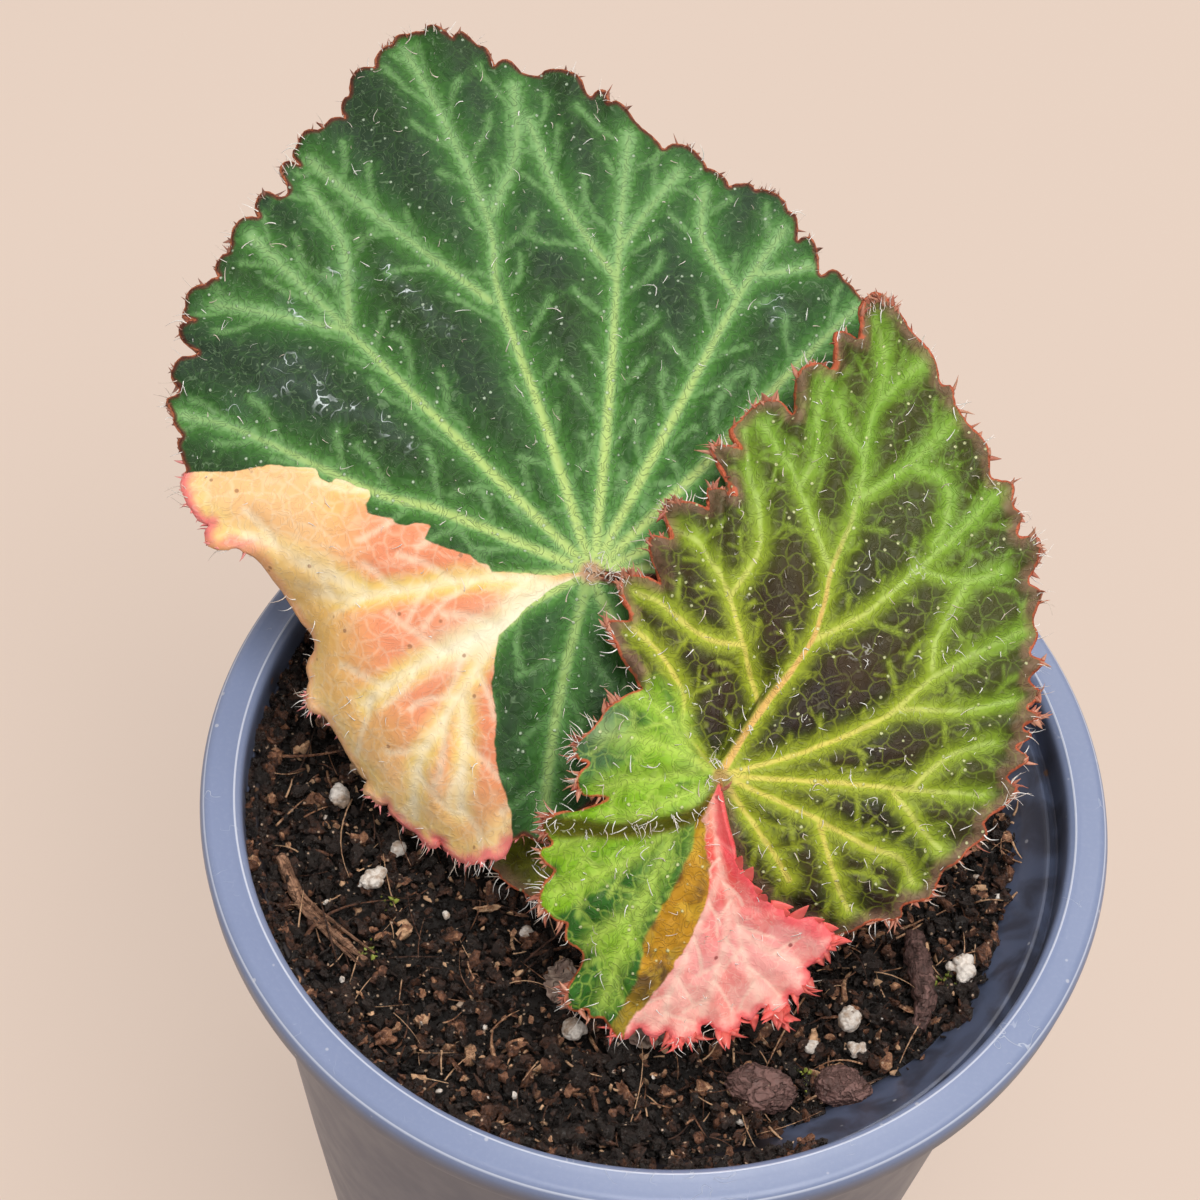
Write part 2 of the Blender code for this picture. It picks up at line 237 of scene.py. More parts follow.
def blend(amount, first, second, how="MIX"):
    mixed = addNode("Mix", {"Factor": amount, "A": first, "B": second}, data_type="RGBA", blend_type=how)
    return mixed.outputs["Result"]


def painted(base, *coats):  # each coat, an amount and a colour, over those before it
    for amount, colour in coats:
        base = blend(amount, base, colour)
    return base


def ramp(value, stops):
    made = addNode("ValToRGB", {"Fac": value})
    elements = made.color_ramp.elements
    while len(elements) < len(stops):
        elements.new(1)
    for element, (place, colour) in zip(elements, stops):
        element.position, element.color = place, (*colour, 1)
    return made.outputs["Color"]


def attribute(name):
    return addNode("Attribute", attribute_name=name).outputs["Fac"]


def objectPlace(scale=(1, 1, 1)):
    place = addNode("TexCoord").outputs["Object"]
    return addNode("Mapping", {"Vector": place, "Scale": scale}).outputs[0]


def noiseAt(place, scale, detail=2.0, distortion=0.0, roughness=0.5, output="Fac"):
    return addNode("TexNoise", {"Vector": place, "Scale": scale, "Detail": detail,
                                "Distortion": distortion, "Roughness": roughness}).outputs[output]


def cellsAt(place, scale, feature="F1", output="Distance"):
    return addNode("TexVoronoi", {"Vector": place, "Scale": scale}, feature=feature).outputs[output]


def vectorMaths(operation, inputs):
    return addNode("VectorMath", inputs, operation=operation).outputs[0]


def wobble(place, scale, amount):
    centred = vectorMaths("SUBTRACT", {0: noiseAt(place, scale, 1.0, output="Color"), 1: (0.5, 0.5, 0.5)})
    return vectorMaths("ADD", {0: place, 1: vectorMaths("SCALE", {0: centred, "Scale": amount})})


def bump(height, distance, strength=1.0):
    made = addNode("Bump", {"Height": height, "Distance": distance, "Strength": strength})
    feed(current["shader"].inputs["Normal"], made.outputs[0])


def curlyLines(place, scale, count, width):  # thin curly threads, as contour lines of a soft noise
    value = noiseAt(wobble(place, scale * 1.9, 0.0011), scale, 1.5, 0.9)
    return span(apart(maths("FRACT", times(value, count)), 0.5), width, 0.0)


def speckles(place, scale, size, rarity):  # small dots scattered one to a cell, most cells empty
    chance = addNode("SeparateColor", {0: cellsAt(place, scale, output="Color")}).outputs[0]
    return times(span(cellsAt(place, scale), size, size * 0.5), maths("GREATER_THAN", chance, rarity))


def ragging(place, scale, detail, amount):  # an uneven shift that roughens a line, in mm
    return times(minus(noiseAt(place, scale, detail), 0.5), amount)


def netOf(place, scale, amount, cells):  # how far each spot is from the lines of a fine net of veins
    return cellsAt(wobble(place, scale, amount), cells, "DISTANCE_TO_EDGE")


def feathered(distance, rough, width, amount=1.0):  # 1 on the line, fading to 0 at this many mm
    return times(span(plus(distance, rough), width, 0.05), amount)


# Leaf shapes: an outline is walked from one side of the notch round to the other, in pairs of an
# angle from the leaf's right-hand side and a reach in mm; rise gives the edge's height by the angle

largeLeaf = {
    "joint": (-10.6, 13.3, 122), "tilt": 20, "roll": 0,
    "thickness": 0.6,
    "outline": [
        (1, 4), (5, 17), (12, 30), (25, 40), (40, 46), (52, 49.1), (53.5, 49.3), (55.7, 49.7), (57.1, 49.6),
        (58.2, 50), (59.3, 49.6), (59.9, 48.1), (61.1, 49.3), (62, 50.4), (62.9, 51.2), (63.9, 51.9),
        (65, 51.7), (65.7, 50.8), (66.3, 52), (66.9, 52.9), (67.8, 53.6), (68.7, 53.4), (69.4, 54.3),
        (70.7, 54.8), (72, 55), (73.1, 54.9), (73.7, 54.5), (74.7, 55.1), (75.6, 54.6), (76.5, 54.2),
        (77, 53.5), (77.7, 54.4), (78.8, 55), (79.8, 55.4), (80.4, 55.4), (81, 56.2), (81.9, 56.8),
        (82.8, 57.4), (83.9, 57.6), (85.1, 57.5), (85.9, 57.1), (86.4, 56.5), (86.9, 57.2), (87.8, 58.2),
        (88.8, 59), (89.7, 59.6), (90.7, 60.4), (91.6, 61.5), (92.6, 62.3), (93.5, 62.1), (93.5, 63.1),
        (93.9, 64), (94.5, 64.1), (95.2, 63.6), (95.6, 62.9), (96.3, 63.7), (96.5, 64.7), (97, 65.6),
        (97.8, 66.2), (98.7, 66.7), (99.8, 67), (100.4, 66.9), (101.1, 66.3), (102.1, 66.5), (103.1, 67),
        (103.6, 67.9), (104.2, 68.6), (104.9, 68.7), (105.6, 68.2), (105.8, 69.3), (105.9, 70.4),
        (106.3, 71.2), (106.9, 71.4), (107.5, 72.5), (108.1, 73.5), (108.8, 73.5), (109.4, 72.8),
        (109.7, 73.7), (110.2, 74.6), (110.8, 75.2), (111.4, 75.2), (111.8, 74.7), (112.3, 75.2),
        (113.1, 75.2), (113.9, 75.5), (114.6, 75.3), (115, 74.4), (115.8, 74.3), (116.6, 73.6),
        (117.2, 72.8), (117.5, 71.6), (118, 71.9), (118.8, 72.2), (119.7, 71.9), (120.4, 71), (120.9, 69.6),
        (121.5, 69.6), (122, 69.1), (122.5, 68.1), (122.5, 66.9), (123.2, 67.4), (124.1, 67.5), (124.9, 67),
        (125.7, 66.8), (126.4, 67.5), (127.1, 67.6), (128, 67.1), (128.5, 66.6), (129, 66.5), (129.5, 65.7),
        (129.2, 64.4), (129.7, 64.8), (130.1, 65.5), (131, 65.5), (131.6, 64.9), (131.9, 63.7),
        (132.2, 61.9), (133.1, 61.7), (133.6, 62.4), (133.9, 63.4), (134.5, 63.9), (135.4, 63.7),
        (136.4, 62.9), (136.8, 61.5), (137.6, 62.2), (138.6, 62.6), (139.9, 62.4), (140.9, 61.6),
        (142.1, 60.6), (143, 60.9), (144.1, 60.6), (145, 60), (145.4, 58.9), (145.9, 59.5), (146.9, 59.7),
        (147.6, 60.4), (148.6, 60.8), (149.7, 60.6), (150.7, 59.8), (151.7, 59.5), (151.8, 58.5),
        (151.5, 57.5), (152.1, 58.5), (153, 58.7), (153.7, 58.4), (154.3, 57.4), (154.5, 56.2), (154.6, 55),
        (155.6, 55.3), (156.4, 56.3), (157.7, 56.5), (158.8, 56.3), (159.5, 55.7), (159.7, 54.7),
        (160.8, 54.8), (161.9, 55.6), (162.7, 54.8), (163.3, 54.1), (164.4, 53.4), (165.1, 52.6),
        (165.7, 51.6), (166.4, 52.2), (167.6, 51.4), (168.8, 50.7), (170.2, 49.8), (171.9, 50),
        (173.3, 49.6), (174.7, 48.7), (175.7, 47.9), (176.9, 46.9), (177.1, 45.5), (178.1, 46),
        (179.5, 45.9), (180.3, 45.7), (180.8, 44.8), (180.9, 43.8), (180.6, 42.9), (180, 42.1),
        (180.7, 41.5), (180.7, 40.6), (181.2, 39.9), (182.2, 39.2), (183.6, 38.8), (184.6, 38.5),
        (186, 38.2), (188.1, 38.1), (189.9, 37.7), (191.9, 37), (193.8, 36.1), (196.2, 35.7), (198.1, 36),
        (199.2, 37), (200.9, 37.6), (202.8, 37.5), (204.1, 38.1), (205.8, 38.7), (207.8, 39), (209.2, 38.2),
        (210.3, 37.3), (212.1, 37.1), (214.9, 36.9), (217.6, 36.9), (219.8, 37), (221.7, 36.9), (224, 37),
        (225.6, 36.7), (226, 37.8), (227.2, 38.4), (228.1, 37.9), (229.9, 38), (231.2, 37.4), (231.5, 36.8),
        (233.1, 37.5), (235.3, 37.6), (237.8, 37.5), (240.1, 37.4), (241.8, 38), (243.9, 38.2), (245, 37.8),
        (244.2, 36.4), (245.8, 37.2), (247.8, 37.5), (250, 37.6), (252.3, 36.9), (254.2, 35.8),
        (255.6, 34.6), (257.3, 34.3), (258.5, 33.4), (258.8, 32.3), (258.9, 31.3), (260.1, 30.9),
        (261.1, 30.3), (262.9, 30.7), (264.6, 31), (266.3, 30.7), (273, 27), (290, 24), (310, 20),
        (328, 14), (338, 9), (344, 4)],
    "rise": [(1, -0.5), (12, -4), (54, -5), (87, -6), (109, -7), (130, -6), (160, -4.5), (179, -4),
             (191, -5.5), (200, -7), (214, -9), (228, -11), (254, -10), (273, -8.5), (310, -5),
             (344, -0.5)],
    "columns": 80, "rows": 104, "finer": (0.1, 0.22, 0.48),  # mesh cells, and where their number doubles
    "scallop": 1.3, "scallopDepth": 0.10,  # length and depth of the edge's rounded lobes in mm
    "ruffle": 0.5, "ruffleLength": 11,
    # the pale edge that rolls under
    "rolled": {"from": 0.72, "start": 176, "end": 262, "ease": 14, "pull": 0.075, "drop": 4.6},
    "grooveDepth": 0.95, "grooveWidth": 1.9, "cushion": 0.75, "sideGroove": 0.22,
    "seed": 5,
    "sideVeins": {"spacing": 5.5, "angle": 48, "length": 8, "twigs": 3.2},
    "veins": {
        "tip": [(99, 1), (112, 20), (113, 37), (111, 47.5), (113, 66), (114, 73)],
        "tipRight": [(110, 48), (105, 56), (104, 65)],
        "tipLeft": [(115, 36.5), (125, 53), (128, 64)],
        "middle": [(70, 1), (90, 24), (91, 43), (91, 58)],
        "middleLeft": [(91, 38), (100, 49), (103, 60)],
        "middleRight": [(91, 42), (84, 54)],
        "right": [(64, 1), (69, 21.5), (69, 41), (68, 51)],
        "rightLow": [(68, 44), (62, 48.5)],
        "rightHigh": [(70, 40.5), (78, 45.5), (80, 52.5)],
        "lowRight": [(44, 1), (51, 18), (53, 34), (53, 48)],
        "under1": [(20, 1), (33, 18), (37, 32), (38, 43)],
        "under2": [(5, 1), (15, 16), (19, 27), (21, 35)],
        "left": [(125, 1), (139, 21), (139, 42.6), (139, 60)],
        "leftLow": [(139, 42.6), (148, 57)],
        "leftHigh": [(138, 43), (131, 52), (130, 61)],
        "farLeft": [(154, 1), (162, 19), (164, 28), (162, 45.5), (163, 53)],
        "peach": [(193, 1), (188, 14), (190, 22), (190, 29), (186, 35)],
        "peachUp": [(190, 26), (182, 34), (178, 41)],
        "peachLow": [(200, 1), (212, 8.4), (216, 12), (213, 22), (214, 30)],
        "peachFoot": [(216, 12), (227, 19), (230, 24), (233, 30), (238, 35)],
        "peachSide": [(228, 20), (240, 25), (246, 31)],
        "lobe": [(255, 1), (261, 12), (263, 21), (265, 29)],
        "lobeRight": [(285, 1), (303, 12), (312, 17)],
    },
    "peachEdge": [
        (0, 0), (188, 4.5), (184.6, 7.1), (183.7, 9.7), (183, 11.6), (179.9, 12), (180, 13.3),
        (177.2, 14.3),
        (176.2, 16.5), (175.4, 18), (174, 20), (171.5, 19.8), (168.6, 19.7), (169.4, 21.4), (171.2, 22.4),
        (170.9, 23.7), (169.9, 24.5), (170.2, 26), (170.3, 27.2), (168, 27.9), (165.4, 27.7), (163.7, 28.2),
        (164, 29.6), (163.6, 31.2), (164.2, 32.4), (165.4, 32.8), (165.2, 34.2), (163.7, 35.2),
        (164.4, 36.6),
        (165.5, 38.6), (166, 40.4), (167.1, 42), (168.7, 44.1), (169.6, 47), (170.8, 50), (170, 70),
        (215, 70), (262, 55), (260, 33), (258.6, 31), (257.2, 28.8), (253.4, 26.5), (249.8, 24.6),
        (246.5, 22.6),
        (242.3, 19.6), (238.5, 18.4), (233.5, 17), (230.5, 15.6), (225.2, 14.1), (220, 12.8),
        (214, 8.4), (205, 4.5)],
    "scars": [[(127.8, 47.2), (127.9, 43.6), (126.9, 40), (126.1, 35.2)], [(142.4, 51.1), (142.5, 47.9)],
              [(155.9, 45.2), (152.4, 43.6), (151.3, 40.6), (151.8, 37.1), (149.2, 32.9), (148.7, 30.4),
              (149.3, 27.2)],
              [(136.3, 49.3), (133.1, 49.2), (131.8, 46)], [(158.6, 47.9), (159.7, 45.6)],
              [(151.9, 45.9), (148.1, 43.9), (148.4, 40.6)], [(63.8, 40.7), (60.7, 41)], [(62.5, 41.9),
              (62.2, 39.8)]],
}

smallLeaf = {
    "joint": (6.4, -10.5, 118), "tilt": 25, "roll": -4,
    "thickness": 0.6,
    "outline": [  # each tooth of the edge is a step: out along its long side, in along the short one
        (-52, 18.5), (-48, 21), (-40, 23), (-34, 24), (-28, 26.5), (-25, 25.8), (-20.5, 28.2), (-13, 28.2),
        (-11, 29.3), (-7, 30.4), (-3, 32), (-0.5, 31.3), (2.5, 33.4), (6.5, 35.1), (9, 33.7), (11.5, 36.3),
        (14, 35.2), (16, 37.3), (18, 36.2), (19, 38.6), (20.5, 37.3), (23, 39.5), (26, 38.5), (27.5, 40.8),
        (29.5, 39.7), (32, 41.7), (35, 42), (37.5, 44.2), (40, 43.8), (42, 46), (44.5, 47.6), (46.5, 46),
        (48.5, 48.2), (50.5, 48), (52.5, 49.9), (55.5, 49), (58.5, 51.2), (62.5, 52.6), (65, 53.3),
        (66.3, 54.9), (67.7, 54.7), (70, 57), (73.5, 58.8), (76, 60.2), (79, 61.8), (80.2, 59.3),
        (79, 55.5),
        (80.6, 55.8), (82.3, 55.1), (81, 51.1), (83, 51.5), (85, 50.4), (85.8, 48.8), (84.8, 44.5),
        (87.5, 45.5), (90.5, 45), (92.5, 43.4), (94.8, 41.4), (93, 39.2), (95, 39.5), (97.8, 39.1),
        (93.4, 33.6), (96, 34.2), (98.8, 34.3), (98.6, 32), (102.5, 32.7), (107, 33.1), (107.8, 31.5),
        (107.6, 28.7), (112.3, 29.4), (113, 26.5), (112.8, 23.8), (116.5, 25.2), (121.5, 26.2), (124.5, 24),
        (124.8, 21), (129, 21.8), (132.8, 22), (134.3, 19), (136, 14), (145, 14.2), (154, 14.9),
        (163, 15.2), (174, 16.8), (179, 16), (181, 14.7), (185.5, 16), (191, 16), (194.5, 15.2),
        (196, 13.2), (198.5, 12.7), (200.5, 15.5), (199, 19.7), (203, 20.4), (208, 19.8), (208.5, 21.5),
        (213, 21.5), (216.8, 20.8), (218, 22.8), (222, 24.3), (228.5, 24), (231.5, 23.3), (234, 24.8),
        (240, 24.4), (242, 26), (242.3, 29.6), (245.5, 30.7), (248, 29.6), (250, 30.3), (252.5, 29.6),
        (256, 30.8), (258.5, 31), (260.5, 29), (262.5, 29.6), (265, 29.7), (267.5, 28.6), (269.3, 30.3),
        (272.5, 29.2), (275, 29.3), (275, 27.6), (277.6, 27.5), (279.4, 29), (283.5, 28), (284.5, 26.8),
        (287, 27.4), (290.3, 26.1), (292.6, 28), (296, 27.2), (297.6, 25.5), (299.2, 26.3), (304, 24.8),
        (304, 23.6), (309.5, 23.6), (313, 22.9), (315.5, 22)],
    "rise": [(-52, -6.5), (-40, -6.5), (-25, -5.5), (-12, -4.5), (0, -3.5), (12, -3), (47, -3), (67, -4),
             (115, -4), (133, -3.5), (142, -3), (170, -3.5), (196, -4.5), (204, -6.5), (221, -7.5),
             (246, -9), (268, -10), (284, -9), (302, -7.5), (315, -6.5)],
    # how far each side of the notch swings back, over its length
    "notchLow": [(0, 30), (0.3, 28), (0.5, 21), (0.7, 11), (0.8, 7), (1, 0)],
    "notchHigh": [(0, 33), (0.12, 32.5), (0.27, 29), (0.36, 26.5), (0.45, 26.8), (0.52, 22.5), (0.58, 20.3),
                  (0.66, 17.5), (0.71, 14.5), (0.735, 10.5), (0.79, 11), (0.83, 8), (0.86, 3),
                  (0.93, 1), (1, 0)],
    "notchLift": 1.1,
    "step": {"depth": 2.6, "width": 9, "reach": 17, "end": 150},  # left of the midrib the sheet drops
    "crease": {"above": 1.4, "below": 1.7, "start": 130, "end": 262},
    "raised": {"height": 1.2, "middle": 165, "width": 26, "reach": 15},  # the lobe left of the stalk
    "fold": [(0, 243), (3.6, 242), (6, 229), (9, 218), (13.8, 208.5), (16, 203.5),
             (20, 199)],  # reach, angle
    "columns": 84, "rows": 96, "finer": (0.1, 0.22, 0.48),
    "scallop": 1.1, "scallopDepth": 0.12,
    "ruffle": 0.6, "ruffleLength": 8,
    "grooveDepth": 0.8, "grooveWidth": 1.5, "cushion": 0.7, "sideGroove": 0.3,
    "seed": 11,
    "sideVeins": {"spacing": 4.2, "angle": 55, "length": 4.6, "twigs": 2.6},
    "veins": {
        "midrib": [(66, 1), (65, 8.8), (63, 15), (64, 21), (69, 28.5), (70, 34.5), (72, 41), (74, 46),
                   (75, 53), (78, 59)],
        "left1": [(65, 9.7), (80, 13), (90, 18), (95, 22.7), (101, 27.4), (106, 30)],
        "left1Top": [(93, 21.3), (87, 26.7), (88, 31.4), (91, 37), (92, 42)],
        "left1Low": [(86, 15.7), (102, 16.3), (114, 21), (120, 24)],
        "left2": [(70, 28.2), (80, 34.4), (84, 38), (90, 42.7)],
        "left2Top": [(81, 36.5), (80, 40.2), (82, 46), (82, 51)],
        "left3": [(73, 42.2), (77, 44.4), (81, 49)],
        "top1": [(74, 49.1), (72, 53), (71, 56)],
        "top2": [(70, 37.6), (66, 43.2), (65, 46.5), (64, 52)],
        "top2Low": [(65, 43.8), (60, 44.7), (56, 41), (55, 38)],
        "right1": [(63, 19.4), (56, 25.6), (54, 33), (53, 40), (53, 48)],
        "right1Low": [(54, 34), (46, 37.7), (44, 42)],
        "right1In": [(46, 38), (41, 31), (35, 28.2)],
        "right2": [(30, 1), (25, 10.4), (28, 20.3), (33, 27.5), (34, 34), (34, 41)],
        "right2Low": [(29, 22.4), (24, 29.3), (23, 36)],
        "right3": [(12, 1.5), (6, 12.2), (5, 21.7), (5, 31)],
        "right3Up": [(6, 22.5), (14, 27.4), (16, 32.5)],
        "right3Low": [(3, 20.3), (-5, 24), (-9, 27)],
        "right4": [(-5, 1.5), (-14, 10.7), (-16, 18.2), (-15, 23), (-19, 25.5)],
        "right4Low": [(-17, 12.7), (-30, 16.7), (-36, 21)],
        "right5": [(-40, 1.5), (-45, 9.3), (-46, 14)],
        "lobe1": [(149, 1), (133, 6.8), (119, 10.8), (122, 16), (126, 20)],
        "lobe2": [(162, 2), (159, 7.7), (166, 14)],
        "lobe3": [(150, 4.5), (138, 10.7), (143, 15)],
        "lobe4": [(175, 3), (189, 8), (191, 13)],
        "low1": [(225, 2), (233, 10.6), (226, 17.6), (222, 22)],
        "low2": [(236, 7), (245, 16.4), (240, 23)],
        "low3": [(245, 13.4), (249, 23.1), (251, 28)],
        "low4": [(218, 3), (213, 12), (210, 19)],
        "pink1": [(262, 2.5), (279, 10.5), (285, 15), (287, 20.7), (290, 25.5)],
        "pink2": [(283, 13.9), (280, 19.3), (275, 26)],
        "pink3": [(286, 17.3), (295, 20.2), (303, 23)],
        "pink4": [(279, 10.5), (271, 16.1), (266, 24), (266, 28)],
        "ochre": [(256, 4), (262, 12), (259, 20)],
    },
    "pinkEdge": [
        (258, 3), (259, 5.2), (268, 8), (271, 10), (272, 13.9), (269, 17.3), (263, 23.4), (258, 28.8),
        (257, 45),
        (300, 60), (330, 45), (330, 0.3), (258, 0.3)],
    "ochreEdge": [
        (250, 2), (251, 5.1), (257, 8.2), (254, 15.1), (253, 19.5), (256, 24.4), (255, 30.3), (255, 45),
        (275, 45), (290, 10), (262, 2)],
    "greenEdge": [  # the bright lobes left of the stalk
        (140, 1), (146, 3), (124, 7.4), (121, 11), (130, 13.4), (144, 14.7), (140, 30), (180, 40),
        (250, 45), (262, 33), (262, 2)],
    "scars": [[(61, 20), (52, 21.4), (45, 23.8)], [(57, 34), (51, 34.5)], [(93, 25.5), (88, 22.2)],
              [(30, 23), (27, 25)]],
}

youngLeaf = {
    "joint": (-8.5, -4.5, 98.8), "tilt": 8, "roll": 14,
    "thickness": 0.6,
    "outline": [
        (25, 2), (45, 4), (75, 6.5), (120, 9.5), (160, 12), (190, 13), (215, 13), (245, 12), (280, 9.5),
        (310, 6), (330, 2)],
    "rise": [(25, 0), (75, -1), (160, -2), (245, -2), (280, -1.5), (330, 0)],
    "columns": 60, "rows": 24, "finer": (0.2, 0.5),
    "scallop": 2.8, "scallopDepth": 0.35,
    "ruffle": 0.2, "ruffleLength": 5,
    "grooveDepth": 0.3, "grooveWidth": 0.8, "cushion": 0.2, "sideGroove": 0.1,
    "seed": 17,
    "sideVeins": {"spacing": 2, "angle": 50, "length": 3, "twigs": 1.5},
    "veins": {
        "midrib": [(200, 1), (203, 7), (203, 12)],
        "side1": [(175, 1), (168, 6), (160, 10)],
        "side2": [(225, 1), (232, 6), (240, 10.5)],
        "side3": [(150, 1), (135, 5), (125, 8)],
        "side4": [(250, 1), (262, 5), (270, 8.5)],
    },
}


def polar(points):
    turn, reach = np.radians([point[0] for point in points]), np.array([point[1] for point in points], float)
    return np.column_stack([reach * np.cos(turn), reach * np.sin(turn)])


def eased(value):
    value = np.clip(value, 0, 1)
    return value * value * (3 - 2 * value)


def rises(value, start, width):  # 0 up to the start, 1 from a width further on
    return eased((value - start) / width)


def falls(value, end, width):  # 1 until a width before the end, 0 from there on
    return eased((end - value) / width)


def alongTable(value, table):  # read off a list of pairs
    return np.interp(value, *np.array(table, float).T)


def turnAndReach(plane):
    return np.degrees(np.arctan2(plane[:, 1], plane[:, 0])), np.hypot(plane[:, 0], plane[:, 1])


def smoothPath(points, step):  # Catmull-Rom through the points, then even steps
    points = np.asarray(points, float)
    padded = np.vstack([2 * points[0] - points[1], points, 2 * points[-1] - points[-2]])
    pieces = []
    for before, start, end, after in zip(padded, padded[1:], padded[2:], padded[3:]):
        t = np.linspace(0, 1, 24, endpoint=False)[:, None]
        pieces.append(start + (end - before) * t / 2 + (before - 2.5 * start + 2 * end - after / 2) * t**2
                      + (3 * start - before - 3 * end + after) * t**3 / 2)
    path = np.vstack(pieces + [points[-1:]])
    length = np.concatenate([[0], np.cumsum(np.linalg.norm(np.diff(path, axis=0), axis=1))])
    even = np.linspace(0, length[-1], max(2, int(length[-1] / step) + 1))
    return np.column_stack([np.interp(even, length, path[:, i]) for i in range(path.shape[1])])


def leafAxes(leaf):
    tilt, roll = math.radians(leaf["tilt"]), math.radians(leaf["roll"])
    right = np.array([math.cos(roll), 0, math.sin(roll)])
    back = np.array([0, math.cos(tilt), math.sin(tilt)])
    back -= right * (back @ right)
    back /= np.linalg.norm(back)
    return right, back, np.cross(right, back)


def softened(path, reach):  # the path evened out over this many mm, its ends left in place
    steps = int(reach * 12)
    weights = np.exp(-(np.arange(-steps, steps + 1) * edgeStep / reach) ** 2)
    weights /= weights.sum()
    before, after = 2 * path[0] - path[steps:0:-1], 2 * path[-1] - path[-2:-steps - 2:-1]
    padded = np.vstack([before, path, after])
    return np.column_stack([np.convolve(padded[:, i], weights, "valid") for i in range(path.shape[1])])


edgeStep, veinStep, growStep = 0.25, 0.15, 0.4  # steps in mm along the edge, the veins and a growing vein
gridFacts = {"perColumn": 8, "evenFrom": 0.35, "rounds": 260, "lobes": 0.8, "teeth": 5}
veinFacts = {"wander": 0.09, "edgeGap": 0.8, "mainGap": 0.7, "curl": 0.02, "twigAngle": 55, "twigLength": 2.6}


def prepareLeaf(leaf):  # the edge with its small lobes, and the table that lays a grid over the leaf
    edge = smoothPath(polar(leaf["outline"]), edgeStep)
    length = np.arange(len(edge)) * edgeStep
    rng = np.random.default_rng(leaf["seed"])
    lobeCount = int(length[-1] / leaf["scallop"])
    marks = np.linspace(0, length[-1], lobeCount + 1) + rng.normal(0, 0.14, lobeCount + 1) * leaf["scallop"]
    phase = np.interp(length, marks, np.arange(lobeCount + 1))
    depth = leaf["scallopDepth"] * (0.5 + rng.random(lobeCount + 2))[np.clip(phase.astype(int), 0, lobeCount)]
    fade = np.clip(np.minimum(length, length[-1] - length) / 3, 0, 1)
    ahead = np.gradient(softened(edge, gridFacts["lobes"]), axis=0)
    outward = np.column_stack([ahead[:, 1], -ahead[:, 0]])
    outward /= np.linalg.norm(outward, axis=1)[:, None]
    edge += outward * (depth * (np.abs(np.sin(np.pi * (phase % 1))) ** 0.6 - 0.6) * fade)[:, None]
    soft = softened(edge, gridFacts["teeth"])
    angle = np.degrees(np.unwrap(np.arctan2(soft[:, 1], soft[:, 0])))
    angle = np.maximum.accumulate(angle + 360 * round((leaf["outline"][0][0] - angle[0]) / 360))
    reach = np.hypot(soft[:, 0], soft[:, 1])
    shift = edge - polar(np.column_stack([angle, reach]))
    leaf["edgeTable"] = (length, angle, reach, shift)
    peaks = np.exp(2.2 * np.clip(np.hypot(edge[:, 0], edge[:, 1]) - reach, -1.5, 1.5))
    leaf["peaks"] = (length / length[-1], peaks / peaks.sum())  # where teeth and edge hairs sit closest
    leaf["axes"] = leafAxes(leaf)
    leaf["paths"] = [smoothPath(polar(points), veinStep) for points in leaf["veins"].values()]
    across, along = leaf["columns"] * gridFacts["perColumn"] + 1, leaf["rows"] + 1
    shares, ts = np.meshgrid(np.linspace(0, 1, across), np.linspace(0, 1, along), indexing="ij")
    table = spreadPlane(leaf, shares.ravel(), ts.ravel()).reshape(across, along, 2)
    start = int(gridFacts["evenFrom"] * along)
    table[:, start:] = relaxed(table[:, start:].copy(), gridFacts["rounds"])
    leaf["table"] = table
    leaf["edgePaths"] = [edge, table[0, 3:], table[-1, 3:]]


def nearest(points, paths):  # the least distance from each point to the paths, in mm
    least = np.empty(len(points))
    points, samples = points.astype(np.float32), np.vstack(paths).astype(np.float32)
    for start in range(0, len(points), 2000):
        part = points[start:start + 2000]
        square = (part[:, None, 0] - samples[None, :, 0]) ** 2 + (part[:, None, 1] - samples[None, :, 1]) ** 2
        least[start:start + 2000] = np.sqrt(square.min(1))
    return least


def edgeReach(leaf, angle):
    _, angles, reaches, _ = leaf["edgeTable"]
    return np.interp((angle - angles[0]) % 360 + angles[0], angles, reaches)


def growVeins(leaf):  # side veins off the main ones, then twigs off those
    rng = np.random.default_rng(leaf["seed"] + 1)
    rule = leaf["sideVeins"]
    mains = np.vstack(leaf["paths"])

    def grow(place, heading, length, curl):
        path = [place]
        for i in range(int(length / growStep)):
            heading += curl + rng.normal(0, veinFacts["wander"])
            place = place + growStep * np.array([math.cos(heading), math.sin(heading)])
            edge = edgeReach(leaf, math.degrees(math.atan2(place[1], place[0])))
            if math.hypot(*place) > edge - veinFacts["edgeGap"]:
                break
            if i > 4 and np.min(np.hypot(*(mains - place).T)) < veinFacts["mainGap"]:
                break
            path.append(place)
        return np.array(path)

    def branches(path, spacing, angle, length):
        made, along, side = [], spacing * rng.uniform(0.8, 1.6), 1
        while along / veinStep < len(path) - 4:
            i = int(along / veinStep)
            ahead = path[min(i + 3, len(path) - 1)] - path[i]
            heading = math.atan2(ahead[1], ahead[0]) + side * math.radians(angle + rng.normal(0, 7))
            branch = grow(path[i], heading, length * rng.uniform(0.6, 1.15), -side * veinFacts["curl"])
            if len(branch) > 4:
                made.append(smoothPath(branch, veinStep))
            along += spacing * rng.uniform(0.45, 0.75)
            side = -side
        return made

    def fromAll(paths, *facts):
        return [branch for path in paths for branch in branches(path, *facts)]

    leaf["sidePaths"] = fromAll(leaf["paths"], rule["spacing"], rule["angle"], rule["length"])
    twig = veinFacts["twigAngle"], veinFacts["twigLength"]
    leaf["twigPaths"] = fromAll(leaf["sidePaths"], rule["twigs"], *twig)


def onEdgeTable(leaf, share, *columns):
    return [np.interp(share * leaf["edgeTable"][0][-1], leaf["edgeTable"][0], column) for column in columns]


